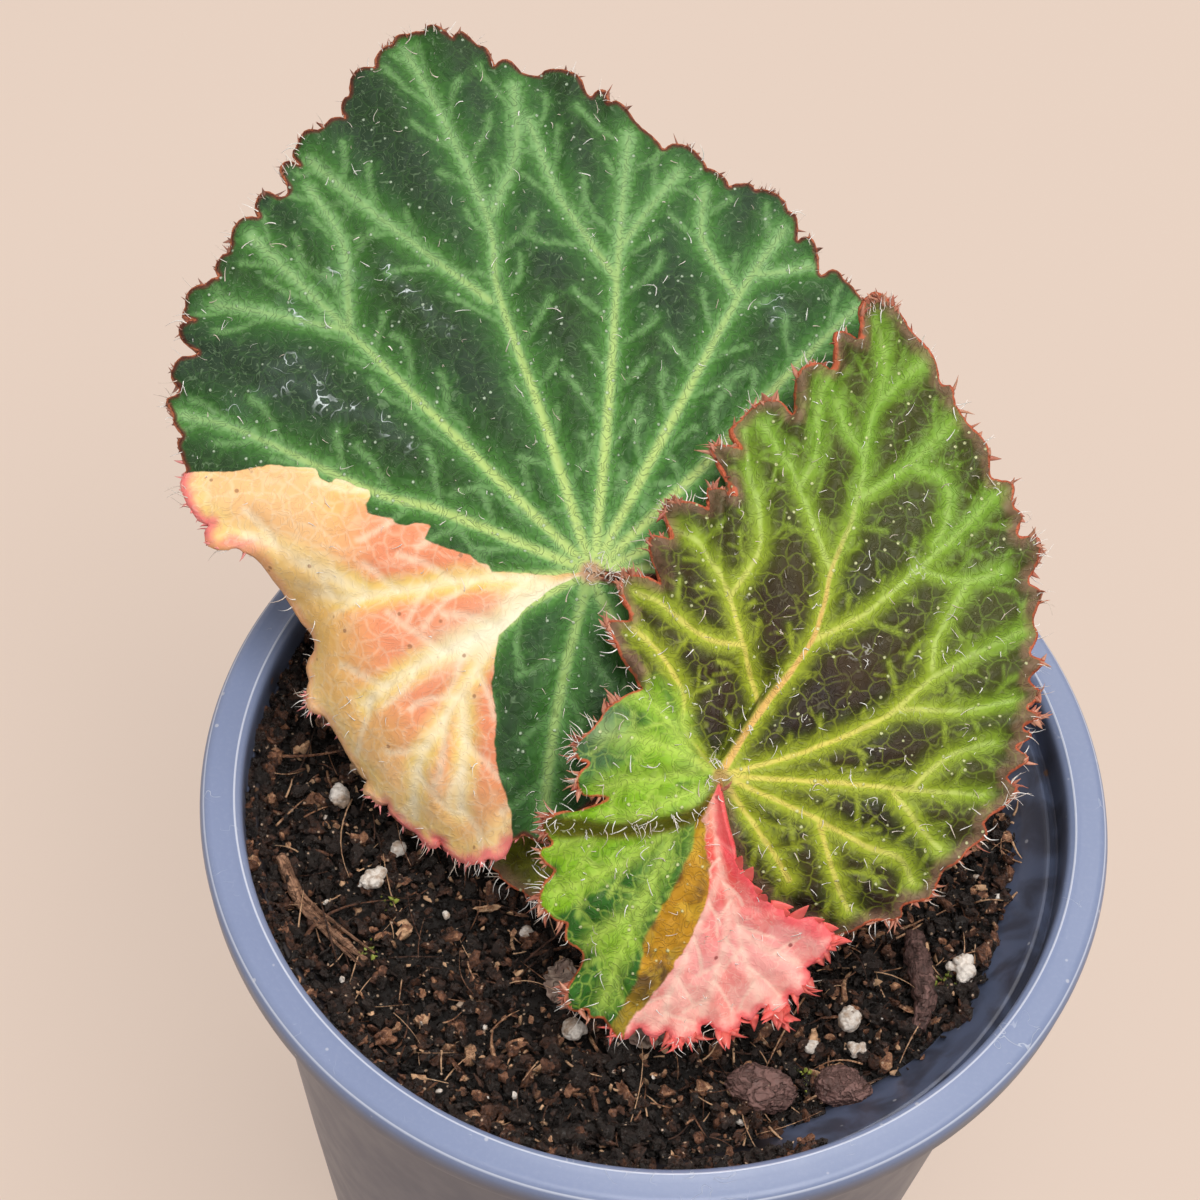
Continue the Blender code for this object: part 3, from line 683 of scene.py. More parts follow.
def spreadPlane(leaf, share, t):  # the grid over the leaf: straight out from the stalk, then to the real edge
    _, angles, reaches, shift = leaf["edgeTable"]
    angle, reach, *shifts = onEdgeTable(leaf, share, angles, reaches, *shift.T)
    middle = (angles[0] + angles[-1]) / 2
    side = (angle - middle) / (angles[-1] - middle)
    if leaf is smallLeaf:
        low, high = alongTable(t, leaf["notchLow"]), alongTable(t, leaf["notchHigh"])
        angle = angle - np.where(side > 0, high, low) * side**4
    return polar(np.column_stack([angle, reach * t])) + (t**4)[:, None] * np.column_stack(shifts)


def relaxed(grid, rounds):  # evens the grid's cells so that none folds over beside a deep tooth
    for _ in range(rounds):
        wide, deep = (grid[2:, 1:-1] - grid[:-2, 1:-1]) / 2, (grid[1:-1, 2:] - grid[1:-1, :-2]) / 2
        stretch, pull = (deep**2).sum(-1)[..., None], (wide**2).sum(-1)[..., None]
        corners = grid[2:, 2:] - grid[2:, :-2] - grid[:-2, 2:] + grid[:-2, :-2]
        skew = (wide * deep).sum(-1)[..., None] * corners / 4
        aim = stretch * (grid[2:, 1:-1] + grid[:-2, 1:-1])
        aim += pull * (grid[1:-1, 2:] + grid[1:-1, :-2]) - 2 * skew
        grid[1:-1, 1:-1] += 0.9 * (aim / (2 * (stretch + pull)) - grid[1:-1, 1:-1])
    return grid


def leafPlane(leaf, share, t):  # place in the leaf's own plane in mm, with the rise of the sheet there
    table = leaf["table"]
    column, row = share * (table.shape[0] - 1), t * (table.shape[1] - 1)
    i, j = np.minimum(column.astype(int), table.shape[0] - 2), np.minimum(row.astype(int), table.shape[1] - 2)
    u, v = (column - i)[:, None], (row - j)[:, None]
    plane = ((1 - u) * ((1 - v) * table[i, j] + v * table[i, j + 1])
             + u * ((1 - v) * table[i + 1, j] + v * table[i + 1, j + 1]))
    length, angles, _, _ = leaf["edgeTable"]
    angle, = onEdgeTable(leaf, share, angles)
    height = alongTable(angle, leaf["rise"]) * t * t
    side = (2 * angle - angles[0] - angles[-1]) / (angles[-1] - angles[0])
    turn, out = turnAndReach(plane)
    if leaf is smallLeaf:
        height = height + leaf["notchLift"] * side**7 * eased(out / 5)
    along = share * length[-1]
    wave = np.sin(2 * np.pi * along / leaf["ruffleLength"] + 2 * np.sin(along / 17))
    height = height + leaf["ruffle"] * t**5 * wave
    return plane, height, angle + np.where(out > 0.1, (turn - angle + 180) % 360 - 180, 0)


def bell(distance, width):
    return np.exp(-(distance / width) ** 2)


def leftOfMidrib(leaf, plane, angle, reach, elsewhere):  # distance from the midrib, on its left only
    turns, reaches = turnAndReach(leaf["paths"][0])
    return np.where(angle > np.interp(reach, reaches, turns), nearest(plane, leaf["paths"][:1]), elsewhere)


def pastFold(leaf, angle, reach):  # how far past the crease, in mm
    return (angle - alongTable(reach, leaf["fold"])) * np.pi / 180 * reach


def rollEdge(plane, height, angle, t):  # the large leaf's pale edge rolls under
    rolled = largeLeaf["rolled"]
    q = np.clip((t - rolled["from"]) / (1 - rolled["from"]), 0, 1)
    q *= rises(angle, rolled["start"], rolled["ease"]) * falls(angle, rolled["end"], rolled["ease"])
    scale = (t - rolled["pull"] * q**2) / np.maximum(t, 1e-6)
    return plane * scale[:, None], height - rolled["drop"] * q**1.6


def creaseSheet(leaf, plane, height, angle):  # the small leaf's step by its midrib, crease and raised lobe
    step, crease, raised = leaf["step"], leaf["crease"], leaf["raised"]
    reach = np.hypot(plane[:, 0], plane[:, 1])
    left = leftOfMidrib(leaf, plane, angle, reach, -1)
    drop = rises(left, 0.2, 0.9) * bell(left, step["width"]) * falls(reach, step["reach"], 6)
    drop *= eased(reach / 3)
    height = height - step["depth"] * drop * falls(angle, step["end"], 30)
    past = pastFold(leaf, angle, reach)
    above, below = crease["above"] * bell(past, 5), -crease["below"] * bell(np.maximum(past, 0), 5.5)
    height = height + ((above + (below - above) * rises(past, -0.5, 1.9)) * eased(reach / 6)
                       * falls(angle, crease["end"], 12) * rises(angle, crease["start"], 25))
    lobe = bell(angle - raised["middle"], raised["width"])
    return height + raised["height"] * lobe * eased(reach / 4) * falls(reach, raised["reach"], 6)


def leafPlaces(leaf, share, t):
    plane, height, angle = leafPlane(leaf, share, t)
    near, sideNear, twigNear, edgeNear = (
        nearest(plane, leaf[key]) for key in ("paths", "sidePaths", "twigPaths", "edgePaths"))
    out = np.hypot(plane[:, 0], plane[:, 1])
    taper = eased(out / 5) * (1 - 0.45 * t)
    relief = leaf["cushion"] * (1 - bell(near, 4.2)) - leaf["grooveDepth"] * bell(near, leaf["grooveWidth"])
    relief *= taper
    relief -= leaf["sideGroove"] * (bell(sideNear, 0.8) + 0.45 * bell(twigNear, 0.6)) * eased(out / 4)
    flat = plane
    if leaf is largeLeaf:
        flat, height = rollEdge(plane, height, angle, t)
    if leaf is smallLeaf:
        height = creaseSheet(leaf, plane, height, angle)
    right, back, up = leaf["axes"]
    points = np.array(leaf["joint"]) + flat[:, :1] * right + flat[:, 1:] * back
    points += (height + relief)[:, None] * up
    return points * mm, {"vein": near, "side": sideNear, "twig": twigNear, "out": out, "angle": angle,
                         "edge": edgeNear, "plane": plane}


def insideDistance(points, corners):  # distance to a closed outline, positive inside
    outline = polar(corners)
    least, inside = np.full(len(points), 1e9), np.zeros(len(points), bool)
    for a, b in zip(outline, np.roll(outline, -1, axis=0)):
        line = b - a
        part = np.clip(((points - a) @ line) / max(line @ line, 1e-9), 0, 1)
        least = np.minimum(least, np.linalg.norm(points - a - part[:, None] * line, axis=1))
        crosses = (a[1] > points[:, 1]) != (b[1] > points[:, 1])
        rise = b[1] - a[1] if b[1] != a[1] else 1e-9
        inside ^= crosses & (points[:, 0] < a[0] + (points[:, 1] - a[1]) / rise * line[0])
    return np.where(inside, least, -least)


def bladeGrid(leaf):
    deselectAll()
    bpy.ops.mesh.primitive_grid_add(x_subdivisions=leaf["columns"], y_subdivisions=leaf["rows"], size=1,
                                    location=(0.5, 0.5, 0))
    blade = bpy.context.object
    applyTransform(blade)
    for start in leaf["finer"]:
        cutEdges(blade, lambda low, high: abs(low.y - high.y) < 1e-5 and low.y > start, 1)
    return blade


def makeBlade(leaf, name, node, top, under, marks):
    prepareLeaf(leaf)
    growVeins(leaf)
    blade = bladeGrid(leaf)
    share, t, _ = np.clip(getPoints(blade.data), 0, 1).T
    points, facts = leafPlaces(leaf, share, t)
    setPoints(blade.data, points)
    setAttributes(blade.data, vein=facts["vein"], sideVein=facts["side"], twigVein=facts["twig"],
                  reach=facts["out"], edge=facts["edge"], **marks(leaf, facts))
    closeSkin(blade, 0.02)
    up = Vector(leaf["axes"][2])
    if sum(face.normal.dot(up) * face.area for face in blade.data.polygons) < 0:
        blade.data.flip_normals()
    for material in (top, under):
        blade.data.materials.append(material)
    leaf["sheet"] = blade.data.copy()
    applyModifier(blade, "SOLIDIFY", thickness=leaf["thickness"] * mm, offset=0, material_offset=1,
                  material_offset_rim=0)
    finishPiece(blade, name, None, node)


# Hairs and teeth: one tapered strand is modelled, then copied, bent and joined in one piece

def strandModel(sides, cuts, tip):
    points, faces = takeModel(tallRod(sides, cuts))
    points[:, :2] *= (1 - (1 - tip) * points[:, 2] ** 1.5)[:, None]
    return points, faces


def unit(vectors):
    return vectors / np.maximum(np.linalg.norm(vectors, axis=-1, keepdims=True), 1e-12)


def makeStrands(name, slot, material, model, roots, heads, lengths, widths, bends, flat=1, curls=0, **marks):
    points, faces = model  # each strand has a root, a direction, a length, a width and a bend, in metres
    heads = unit(heads)
    side = unit(bends - (bends * heads).sum(1, keepdims=True) * heads)
    across = np.cross(heads, side)
    much, curls = np.linalg.norm(bends, axis=1), np.broadcast_to(curls, len(roots))
    x, y, z = points.T[:, None]
    made = (roots[:, None] + (z * lengths[:, None])[..., None] * heads[:, None]
            + (z**2 * much[:, None] + x * widths[:, None] * flat)[..., None] * side[:, None]
            + (np.sin(z * 3.1) * curls[:, None] + y * widths[:, None])[..., None] * across[:, None])
    each = len(points)
    piece = meshFrom(name, made.reshape(-1, 3),
                     [tuple(v + i * each for v in face) for i in range(len(roots)) for face in faces])
    setAttributes(piece.data, **{key: np.repeat(values, each) for key, values in marks.items()})
    finishPiece(piece, name, material)


def sheetNormal(leaf, outward, tangent):
    normal = unit(np.cross(outward, tangent))
    return normal * np.sign(normal @ leaf["axes"][2])[:, None]


def rootsOnEdge(leaf, shares, inset):
    def spot(ahead, t):
        return leafPlaces(leaf, np.clip(shares + ahead, 0, 1), np.full(len(shares), t - inset))[0]

    top = spot(0, 1)
    outward, tangent = unit(top - spot(0, 0.95)), unit(spot(0.0015, 1) - spot(-0.0015, 1))
    outward = unit(outward - (outward * tangent).sum(1, keepdims=True) * tangent * 0.7)
    return top, outward, tangent, sheetNormal(leaf, outward, tangent)


def atPeaks(leaf, rng, count):
    places, chance = leaf["peaks"]
    return np.clip(np.sort(rng.choice(places, count, p=chance) + rng.normal(0, 0.0012, count)), 0.003, 0.997)


def makeTeeth(leaf, name, slot, material, facts):
    rng = np.random.default_rng(leaf["seed"] + 2)
    count = facts["count"]
    shares = atPeaks(leaf, rng, count)
    top, outward, tangent, normal = rootsOnEdge(leaf, shares, 0.004)
    heads = outward + normal * rng.normal(facts["lift"], 0.5, (count, 1))
    heads += tangent * rng.normal(0, 0.7, (count, 1))
    lengths, widths = (rng.uniform(*facts[key], count) * mm for key in ("length", "width"))
    angle = leafPlaces(leaf, shares, np.ones(count))[1]["angle"]
    low, high, more = facts.get("broad", (0, 0, 1))  # where the teeth are wider
    broad = np.where((angle > low) & (angle < high), more, 1)
    widths, lengths = widths * broad, lengths * (0.6 + 0.4 * broad)
    bends = normal * rng.normal(0.5, 0.5, (count, 1)) + tangent * rng.normal(0, 0.5, (count, 1))
    makeStrands(name, slot, material, strandModel(5, 2, 0.06), top, heads, lengths, widths,
                bends * lengths[:, None] * 0.6, 0.4, turn=angle, tone=rng.random(count))


def makeNotchTeeth(leaf, name, slot, material, facts):  # the pointed teeth up one side of the notch
    rng = np.random.default_rng(leaf["seed"] + 7)
    count, ts = len(facts["places"]), np.array(facts["places"])
    top, inner, beside = (leafPlaces(leaf, np.full(count, share), t)[0]
                          for share, t in ((1.0, ts), (0.99, ts), (1.0, ts - 0.02)))
    outward, tangent = unit(top - inner), unit(beside - top)
    normal = sheetNormal(leaf, outward, tangent)
    heads = outward - tangent * rng.normal(0.3, 0.4, (count, 1)) + normal * rng.uniform(0.1, 0.8, (count, 1))
    lengths, widths = (rng.uniform(*facts[key], count) * mm for key in ("length", "width"))
    bends = normal * (lengths * rng.uniform(0.05, 0.25, count))[:, None]
    makeStrands(name, slot, material, strandModel(10, 5, 0.05), top - outward * facts["sunk"] * mm, heads,
                lengths, widths, bends, 0.28, turn=np.full(count, 300.0), tone=rng.uniform(0, 0.6, count))


hairSizes = {"edge": (0.9, 2.6), "surface": (0.7, 2.2), "tuft": (1.2, 2.6), "width": (0.06, 0.12)}  # in mm


def makeHairs(leaf, name, facts):
    rng = np.random.default_rng(leaf["seed"] + 3)
    count = facts["edge"]
    top, outward, tangent, normal = rootsOnEdge(leaf, atPeaks(leaf, rng, count), 0.008)
    heads = outward + normal * rng.normal(0.45, 0.6, (count, 1)) + tangent * rng.normal(0, 0.9, (count, 1))
    groups = [(top, heads, rng.uniform(*hairSizes["edge"], count), outward)]
    places, normals, areas = (np.array([getattr(face, key) for face in leaf["sheet"].polygons])
                              for key in ("center", "normal", "area"))
    pick = rng.choice(len(places), facts["surface"], p=areas / areas.sum())
    tilt = unit(normals[pick] * 0.5 + rng.normal(0, 1, (len(pick), 3)))
    tilt += normals[pick] * (0.15 - np.minimum((tilt * normals[pick]).sum(1, keepdims=True), 0.15))
    lengths = rng.uniform(*hairSizes["surface"], len(pick))
    groups.append((places[pick], tilt, lengths, rng.normal(0, 1, (len(pick), 3))))
    for wanted, number in facts["tufts"]:
        pick = rng.choice(np.flatnonzero(wanted(leaf, places)), number)
        heads = unit(normals[pick] + rng.normal(0, 0.55, (number, 3)))
        lengths = rng.uniform(*hairSizes["tuft"], number)
        groups.append((places[pick], heads, lengths, rng.normal(0, 1, (number, 3))))
    roots, heads = np.vstack([group[0] for group in groups]), unit(np.vstack([group[1] for group in groups]))
    lengths = np.concatenate([group[2] for group in groups]) * mm
    bends = unit(np.vstack([unit(group[3]) + rng.normal(0, 0.6, group[3].shape) for group in groups]))
    bends *= (lengths * rng.uniform(0.15, 0.75, len(lengths)))[:, None]
    widths = rng.uniform(*hairSizes["width"], len(lengths)) * mm
    makeStrands(name, facts["slot"], whiteHair, strandModel(3, 4, 0.25), roots, heads, lengths, widths, bends,
                1, rng.normal(0, 0.22, len(lengths)) * lengths, tone=rng.random(len(lengths)))


# Leaf finishes

largeColours = {
    "dark": (0.015, 0.044, 0.010), "darkBlue": (0.022, 0.046, 0.026), "green": (0.050, 0.185, 0.030),
    "glow": (0.115, 0.310, 0.060), "band": (0.26, 0.46, 0.19), "core": (0.48, 0.63, 0.19),
    "felt": (0.18, 0.28, 0.15), "salmon": (0.87, 0.30, 0.150), "cream": (0.93, 0.66, 0.29),
    "lemon": (0.88, 0.62, 0.18), "pale": (0.96, 0.86, 0.64), "goldenShade": (0.74, 0.44, 0.12),
    "pink": (0.86, 0.22, 0.20), "rim": (0.11, 0.030, 0.020), "rimLine": (0.42, 0.13, 0.06),
    "dot": (0.55, 0.66, 0.50), "pore": (0.30, 0.13, 0.06), "paleFelt": (0.95, 0.84, 0.68),
    "scar": (0.70, 0.78, 0.78), "scarHaze": (0.40, 0.50, 0.50), "hub": (0.50, 0.30, 0.18),
}
smallColours = {
    "dark": (0.012, 0.007, 0.005), "brown": (0.036, 0.019, 0.008), "outer": (0.056, 0.066, 0.013),
    "green": (0.115, 0.172, 0.017), "glow": (0.38, 0.45, 0.030), "glowOuter": (0.20, 0.38, 0.040),
    "core": (0.74, 0.62, 0.13), "coreOuter": (0.44, 0.60, 0.17), "rib": (0.74, 0.44, 0.13),
    "bright": (0.030, 0.128, 0.014), "lime": (0.215, 0.43, 0.014), "brightVein": (0.46, 0.64, 0.10),
    "bloom": (0.22, 0.30, 0.21), "oliveAndShade": (0.145, 0.125, 0.008), "shade": (0.020, 0.018, 0.010),
    "ochre": (0.52, 0.26, 0.018), "umber": (0.13, 0.065, 0.022), "amber": (0.66, 0.42, 0.035),
    "moss": (0.25, 0.21, 0.018), "coral": (0.82, 0.092, 0.080), "coralFoot": (0.72, 0.23, 0.13),
    "paleCoral": (0.99, 0.38, 0.36), "peach": (0.99, 0.60, 0.47), "coralVein": (0.99, 0.72, 0.58),
    "coralEdge": (0.86, 0.085, 0.11), "pore": (0.28, 0.04, 0.04), "rim": (0.27, 0.150, 0.100),
    "rimLine": (0.56, 0.12, 0.055), "felt": (0.24, 0.22, 0.13), "dot": (0.74, 0.76, 0.42),
    "scar": (0.60, 0.58, 0.52), "hub": (0.42, 0.26, 0.08),
}


def scarLines(place, sway, scale, width, gaps):  # fine dry scratches, broken up by a soft noise
    line = span(apart(noiseAt(wobble(place, 800, sway), scale, 2, 0.6), 0.5), width, 0.004)
    return times(line, span(noiseAt(place, gaps, 1), 0.42, 0.56), attribute("scar"))


def pebble(net, felt, smooth, dots, strength):  # the sheet swells between the lines of its finest net
    swell = times(plus(span(net, 0.0, 0.45), felt), minus(1.0, smooth))
    bump(plus(swell, dots), 0.00018, strength)


def largeTopMaterial():
    made = newMaterial("largeLeafTop")
    c, place = largeColours, objectPlace()
    soft, blotch = noiseAt(place, 60, 3), noiseAt(place, 120, 4, 0.4)
    vein, side, twig, reach, edge = map(attribute, ("vein", "sideVein", "twigVein", "reach", "edge"))
    ragged, frayed = ragging(place, 700, 2, 1.6), ragging(place, 1700, 1, 1.3)
    strong = minus(1.0, attribute("calm"))
    halo = most(feathered(vein, ragged, 6.0, 0.66), feathered(side, times(ragged, 0.7), 2.2, 0.42))
    glow = times(feathered(vein, frayed, 2.7, 0.95), plus(0.55, times(span(reach, 60, 10), 0.45)))
    glow = most(glow, most(feathered(side, frayed, 1.05, 0.32), feathered(twig, frayed, 0.7, 0.17)))
    net = netOf(place, 500, 0.0012, 520)
    band = most(feathered(vein, frayed, 1.5, 0.78), feathered(side, times(frayed, 0.6), 0.75, 0.36))
    core = span(maths("DIVIDE", vein, span(reach, 62, 8, 0.42, 0.95)), 1.15, 0.1)
    core = times(core, span(reach, 55, 14, 0.12, 0.92))
    curls = curlyLines(place, 420, 9, 0.14)
    green = painted(blend(span(soft, 0.3, 0.7), c["dark"], c["darkBlue"]),
                    (halo, c["green"]),
                    (times(glow, strong), c["glow"]),
                    (times(span(net, 0.07, 0.0), 0.12), c["glow"]),
                    (times(band, strong), c["band"]),
                    (times(core, strong), c["core"]),
                    (times(curls, 0.44), c["felt"]))

    between = times(span(plus(vein, times(ragged, 0.8)), 0.6, 2.7), span(blotch, 0.10, 0.36))
    # a golden tone near the pale edge, which also paints the shade where that edge rolls under
    goldenShade = times(span(plus(edge, times(ragged, 1.5)), 8.5, 2.5), attribute("goldenShade"),
                   span(blotch, 0.60, 0.40, 0.45, 1.0))
    pale = painted(blend(span(noiseAt(place, 75, 2), 0.42, 0.62), c["cream"], c["lemon"]),
                   (times(between, attribute("salmon")), c["salmon"]),
                   (times(span(netOf(place, 420, 0.0014, 430), 0.12, 0.0), 0.20), c["pale"]),
                   (feathered(side, 0.0, 0.8, 0.42), c["pale"]),
                   (attribute("whitish"), c["pale"]),
                   (feathered(vein, 0.0, 1.2, 0.5), c["pale"]),
                   (goldenShade, c["goldenShade"]),
                   (times(span(plus(edge, ragged), 2.0, 0.3), attribute("pinkEdge")), c["pink"]),
                   (times(speckles(place, 620, 0.22, 0.86), 0.7), c["pore"]),
                   (times(curls, 0.16), c["paleFelt"]))

    inPeach = span(plus(attribute("peach"), times(ragged, 0.35)), -0.12, 0.12)
    notPeach = minus(1.0, inPeach)
    dots = times(speckles(place, 620, 0.16, 0.25), notPeach)
    base = painted(green,
                   (inPeach, pale),
                   (times(span(plus(edge, times(ragged, 0.3)), 0.7, 0.2), notPeach), c["rim"]),
                   (times(span(plus(edge, times(frayed, 0.2)), 0.24, 0.1), notPeach), c["rimLine"]),
                   (times(dots, 0.7), c["dot"]),
                   (scarLines(place, 0.0006, 330, 0.016, 420), c["scar"]),
                   (times(attribute("scar"), 0.05), c["scarHaze"]),
                   (span(reach, 1.8, 0.7), c["hub"]))
    setShader(base, span(soft, 0.3, 0.7, 0.46, 0.58), 0.20)
    pebble(net, times(curls, 0.6), times(inPeach, 0.62), dots, 0.85)
    return made


def smallTopMaterial():
    made = newMaterial("smallLeafTop")
    c, place = smallColours, objectPlace()
    soft = noiseAt(place, 90, 3)
    vein, side, twig, reach, edge = map(attribute, ("vein", "sideVein", "twigVein", "reach", "edge"))
    ragged, frayed = ragging(place, 850, 2, 1.5), ragging(place, 1700, 1, 1.0)
    bright = span(plus(attribute("bright"), ragged), -1.6, 1.6)
    halo = most(feathered(vein, ragged, 3.4, 0.56), feathered(side, times(ragged, 0.6), 1.3, 0.34))
    darkBase = painted(blend(span(soft, 0.35, 0.65), c["dark"], c["brown"]),
                       (attribute("greenish"), c["outer"]),
                       (halo, c["green"]))
    patch = plus(noiseAt(place, 150, 3, 0.4), times(span(vein, 3.6, 0.6), 0.24))
    brightBase = blend(span(minus(patch, attribute("deep")), 0.39, 0.66), c["bright"], c["lime"])
    glow = blend(bright, blend(span(reach, 14, 46), c["glow"], c["glowOuter"]), c["brightVein"])
    faint = minus(1.0, times(bright, 0.45))
    lines = most(times(feathered(vein, times(frayed, 0.7), 2.2, 1.0), faint),
                 feathered(side, times(frayed, 0.25), 0.68, 0.60), feathered(twig, 0.0, 0.42, 0.42))
    net = netOf(place, 520, 0.0014, 440)
    netted = most(times(span(net, 0.07, 0.0), span(vein, 6.0, 1.6, 0.08, 0.34)),
                  times(span(net, 0.08, 0.0), bright, 0.38))
    core = times(span(vein, 0.55, 0.1), times(span(reach, 50, 12, 0.25, 0.85), faint))
    coreColour = blend(span(reach, 12, 36), c["core"], c["coreOuter"])
    green = painted(blend(bright, darkBase, brightBase),
                    (lines, glow),
                    (netted, glow),
                    (core, blend(bright, coreColour, c["brightVein"])),
                    (times(span(attribute("rib"), 0.50, 0.12), span(reach, 40, 16, 0.0, 0.95)), c["rib"]),
                    (attribute("shade"), c["shade"]),
                    # painted shade: an olive band on the crease's steep face; on the young leaf an even olive
                    # tint
                    (attribute("oliveAndCreaseShade"), c["oliveAndShade"]),
                    (times(attribute("bloom"), span(soft, 0.3, 0.6, 0.3, 0.8)), c["bloom"]))

    stains = times(span(noiseAt(place, 230, 3, 0.5), 0.45, 0.62), span(vein, 0.5, 1.6))
    ochre = painted(blend(stains, c["ochre"], c["umber"]),
                    (times(span(noiseAt(place, 340, 3, 0.4), 0.48, 0.62), 0.5), c["amber"]),
                    (span(reach, 23, 29, 0.0, 0.7), c["moss"]))
    outward = plus(reach, times(ragged, 4))
    pink = painted(blend(span(outward, 9, 20), c["coral"], c["paleCoral"]),
                   (span(outward, 10, 3, 0.0, 0.8), c["coralFoot"]),
                   (times(span(outward, 18, 28), 0.5), c["peach"]),
                   (times(span(noiseAt(place, 260, 4, 0.3), 0.46, 0.66), 0.40), c["coral"]),
                   (times(curlyLines(place, 300, 9, 0.10), 0.34), c["coralVein"]),
                   (feathered(side, 0.0, 0.42, 0.55), c["coralVein"]),
                   (times(span(netOf(place, 520, 0.0016, 520), 0.10, 0.0), 0.12), c["coralVein"]),
                   (feathered(vein, times(frayed, 0.5), 1.0, 0.5), c["coralVein"]),
                   (times(span(plus(edge, ragged), 1.3, 0.1), 0.75), c["coralEdge"]))

    inOchre = span(plus(attribute("ochre"), times(ragged, 0.4)), -0.2, 0.2)
    inPink = span(plus(attribute("pink"), times(ragged, 0.5)), -0.15, 0.15)
    notPink = minus(1.0, inPink)
    rim = times(span(plus(edge, ragged), 1.9, 0.4), maths("SUBTRACT", notPink, bright, True))
    rimLine = times(span(plus(edge, times(frayed, 0.25)), 0.34, 0.14), notPink)
    dots = times(speckles(place, 600, 0.16, 0.22), notPink)
    base = painted(green,
                   (inOchre, ochre),
                   (inPink, pink),
                   (times(rim, 0.62), c["rim"]),
                   (times(curlyLines(place, 430, 9, 0.14), times(0.2, notPink)), c["felt"]),
                   (times(rimLine, 0.9), c["rimLine"]),
                   (times(dots, 0.7), c["dot"]),
                   (times(speckles(place, 480, 0.17, 0.84), inPink, 0.8), c["pore"]),
                   (times(scarLines(place, 0.0008, 420, 0.018, 500), 0.9), c["scar"]),
                   (span(reach, 1.3, 0.5, 0.0, 0.85), c["hub"]))
    setShader(base, span(soft, 0.3, 0.7, 0.44, 0.56), 0.20)
    pebble(net, times(curlyLines(place, 430, 9, 0.2), 0.5), times(inPink, 0.6), dots, 0.8)
    return made


def underMaterial(name, skin, veinColour):
    made = newMaterial(name)
    place = objectPlace()
    sides = times(span(attribute("sideVein"), 0.5, 0.05), 0.7)
    net = times(span(netOf(place, 500, 0.0012, 480), 0.08, 0.0), 0.4)
    lines = most(span(attribute("vein"), 0.9, 0.2), most(sides, net))
    base = blend(span(noiseAt(place, 110, 4), 0.35, 0.65), skin, tuple(v * 0.6 for v in skin))
    setShader(blend(times(lines, 0.8), base, veinColour), 0.6)
    bump(plus(lines, curlyLines(place, 420, 9, 0.2)), 0.0002, 0.7)
    return made


def hairMaterial(name, low, high, roughness):
    made = newMaterial(name)
    tone = plus(attribute("tone"), times(noiseAt(objectPlace(), 1500), 0.3))
    setShader(blend(span(tone, 0.1, 1.1), low, high), roughness)
    return made


def toothMaterial(name, low, high, colour, ordinary):  # of this colour between two angles round the leaf
    made = newMaterial(name)
    turn, tone = attribute("turn"), attribute("tone")
    inside = times(maths("GREATER_THAN", turn, low), maths("LESS_THAN", turn, high))
    base = painted(blend(tone, *ordinary),
                   (inside, blend(tone, colour, tuple(v * 0.7 for v in colour))),
                   (times(noiseAt(objectPlace(), 1400, 2), 0.35), (0.75, 0.45, 0.30)))
    setShader(base, 0.45)
    return made


def scarMark(leaf, plane):  # 1 along the dry scratches, fading over a millimetre
    return bell(nearest(plane, [smoothPath(polar(points), 0.2) for points in leaf["scars"]]), 0.9)


def largeMarks(leaf, facts):
    plane, angle, out = facts["plane"], facts["angle"], facts["out"]
    peach = insideDistance(plane, leaf["peachEdge"])
    lowVein = leaf["paths"][list(leaf["veins"]).index("peachLow")]
    whitish = np.maximum(0.9 * bell(nearest(plane, [lowVein]), 2.2) * falls(out, 27, 12),
                         0.85 * falls(out, 11, 6) * eased(peach))
    salmon = rises(out, 7, 6) * (0.35 + 0.65 * falls(out, 33, 9)) * rises(facts["edge"], 0.8, 3.5)
    return {
        "peach": peach, "whitish": whitish, "salmon": salmon, "scar": scarMark(leaf, plane),
        # golden tone with painted shade where the pale edge rolls under
        "goldenShade": 0.9 * rises(angle, 178, 4) * falls(angle, 208, 16),
        "calm": 0.5 * rises(angle, 238, 10),
        "pinkEdge": np.maximum(0.35, np.maximum(falls(angle, 182.5, 4), rises(angle, 222, 15)))}


def smallMarks(leaf, facts):
    plane, angle, out = facts["plane"], facts["angle"], facts["out"]
    far = np.where(angle > 200, 0, -50)
    past = pastFold(leaf, angle, out)
    left = leftOfMidrib(leaf, plane, angle, out, 9)
    return {
        "pink": np.minimum(insideDistance(plane, leaf["pinkEdge"]), 50) + far,
        "ochre": insideDistance(plane, leaf["ochreEdge"]) + far,
        "bright": insideDistance(plane, leaf["greenEdge"]) + np.where(angle > 110, 0, -50),
        "rib": nearest(plane, leaf["paths"][:1]), "scar": scarMark(leaf, plane),
        # painted shade on the steep face of the crease
        "oliveAndCreaseShade": 0.92 * rises(past, -0.35, 0.5) * falls(past, 2.6, 1.1) * eased(out / 3),
        "bloom": 0.9 * bell(angle - 166, 16) * rises(out, 9, 5),
        "greenish": 0.85 * rises(out, 16, 26) * rises(angle, -30, 40),
        "shade": (0.8 * rises(left, 0.3, 0.2) * falls(left, 1.3, 0.7)
                  * falls(out, 16, 5) * rises(out, 1, 3)),
        "deep": (0.24 * rises(angle, 222, 16)
                 + 0.20 * falls(angle, 192, 10) * rises(angle, 118, 10)
                 + 0.16 * rises(angle, 192, 6) * falls(out, 11, 5))}


def youngMarks(leaf, facts):
    same = {"pink": -50, "ochre": -50, "bright": -2, "rib": 9, "oliveAndCreaseShade": 0.55, "bloom": 0, "greenish": 0.5,
            "scar": 0, "shade": 0, "deep": 0}
    return {name: np.full(len(facts["out"]), value) for name, value in same.items()}


